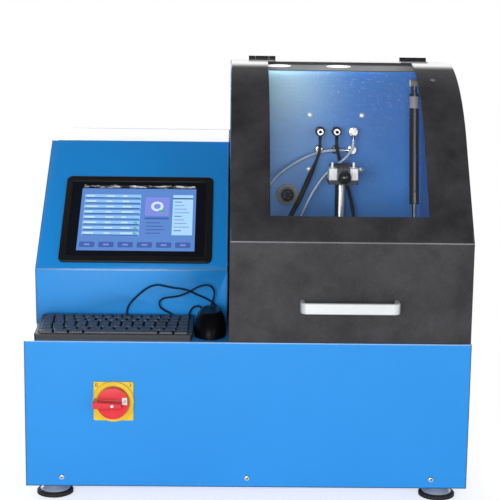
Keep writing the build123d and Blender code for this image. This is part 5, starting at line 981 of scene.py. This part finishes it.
# A pale studio: a white floor that keeps the bench's shadow and fades into the white surroundings, a
# broad soft lamp beside the camera, a weaker one on the other side and one behind.
floor_form = bmesh.new()
bmesh.ops.create_grid(floor_form, x_segments=1, y_segments=1, size=12.0)
floor = into_piece("studio_floor", floor_form, 30)
floor_white, floor_sockets, floor_place = new_finish("floor_white", roughness=0.9, specular_ior_level=0.0)
floor_cloud = noise_of(floor_place, 0.8)
floor_place.feed(floor_sockets["Base Color"], blend_of(floor_cloud, (0.88, 0.88, 0.88), (0.92, 0.92, 0.92)))
shadow_half = 0.33
by_camera, by_gloss, by_clear = (floor_place.node("LightPath", output=ray) for ray in (0, 3, 6))
shown = by_camera | by_gloss | by_clear
past_x, past_y = ((abs(part_of(floor_place, axis)) - shadow_half) | 0.0 for axis in (0, 1))
from_bench = floor_place.sum("SQRT", past_x * past_x + past_y * past_y)
fade = soft_ramp(from_bench, 0.0, 0.10, 0.0, 1.0)
glow = floor_place.node("Emission", {}, {"Color": (1, 1, 1, 1), "Strength": 1.0})
lift = floor_place.node("Emission", {}, {"Color": (1, 1, 1, 1), "Strength": 0.62})
unlit = floor_place.node("Emission", {}, {"Color": (0, 0, 0, 1), "Strength": 0.0})
shaded = Flow(floor_white.node_tree, floor_white.node_tree.nodes["Principled BSDF"].outputs[0])
raised = floor_place.node("MixShader", {}, {0: shown, 1: unlit, 2: lift})
lifted = floor_place.node("AddShader", {}, {0: shaded, 1: raised})
mixed = floor_place.node("MixShader", {}, {0: shown * fade, 1: lifted, 2: glow})
floor_place.feed(floor_white.node_tree.nodes["Material Output"].inputs["Surface"], mixed)
floor.data.materials.append(floor_white)


def soft_lamp(name, place, target, width, height, power):
    lamp = bpy.data.lights.new(name, "AREA")
    lamp.shape = "RECTANGLE"
    lamp.size, lamp.size_y = width, height
    lamp.energy = power
    thing = stood(name, lamp)
    thing.location = place
    thing.rotation_euler = (Vector(target) - Vector(place)).to_track_quat("-Z", "Y").to_euler()


soft_lamp("front_lamp", (-0.7, -3.6, 0.85), (0, -0.2, 0.35), 1.8, 1.2, 64)
soft_lamp("side_lamp", (1.7, -2.9, 1.0), (0.1, -0.2, 0.35), 1.2, 1.2, 14)
soft_lamp("rear_lamp", (-1.6, 3.2, 1.3), (0, 0.3, 0.30), 1.8, 1.2, 52)
world = bpy.data.worlds.new("studio_white")
bpy.context.scene.world = world
world.use_nodes = True
air = Flow(world.node_tree)
camera_ray, glossy_ray, clear_ray = (air.node("LightPath", output=ray) for ray in (0, 3, 6))
behind = soft_ramp(part_of(air.node("TexCoord", output=0), 1), 0.10, 0.75, 0.0, 1.0)
white = air.node("Background", {}, {"Color": (1, 1, 1, 1), "Strength": 1.0})
ambient = air.node("Background", {}, {"Color": (0.86, 0.94, 1, 1), "Strength": 0.23})
dim = air.node("Background", {}, {"Color": (1, 1, 1, 1), "Strength": 0.035})
either = camera_ray | glossy_ray * behind | clear_ray
filled = air.node("MixShader", {}, {0: glossy_ray, 1: ambient, 2: dim})
surround = air.node("MixShader", {}, {0: either, 1: filled, 2: white})
air.feed(world.node_tree.nodes["World Output"].inputs["Surface"], surround)
bpy.context.scene.view_settings.view_transform = "Standard"
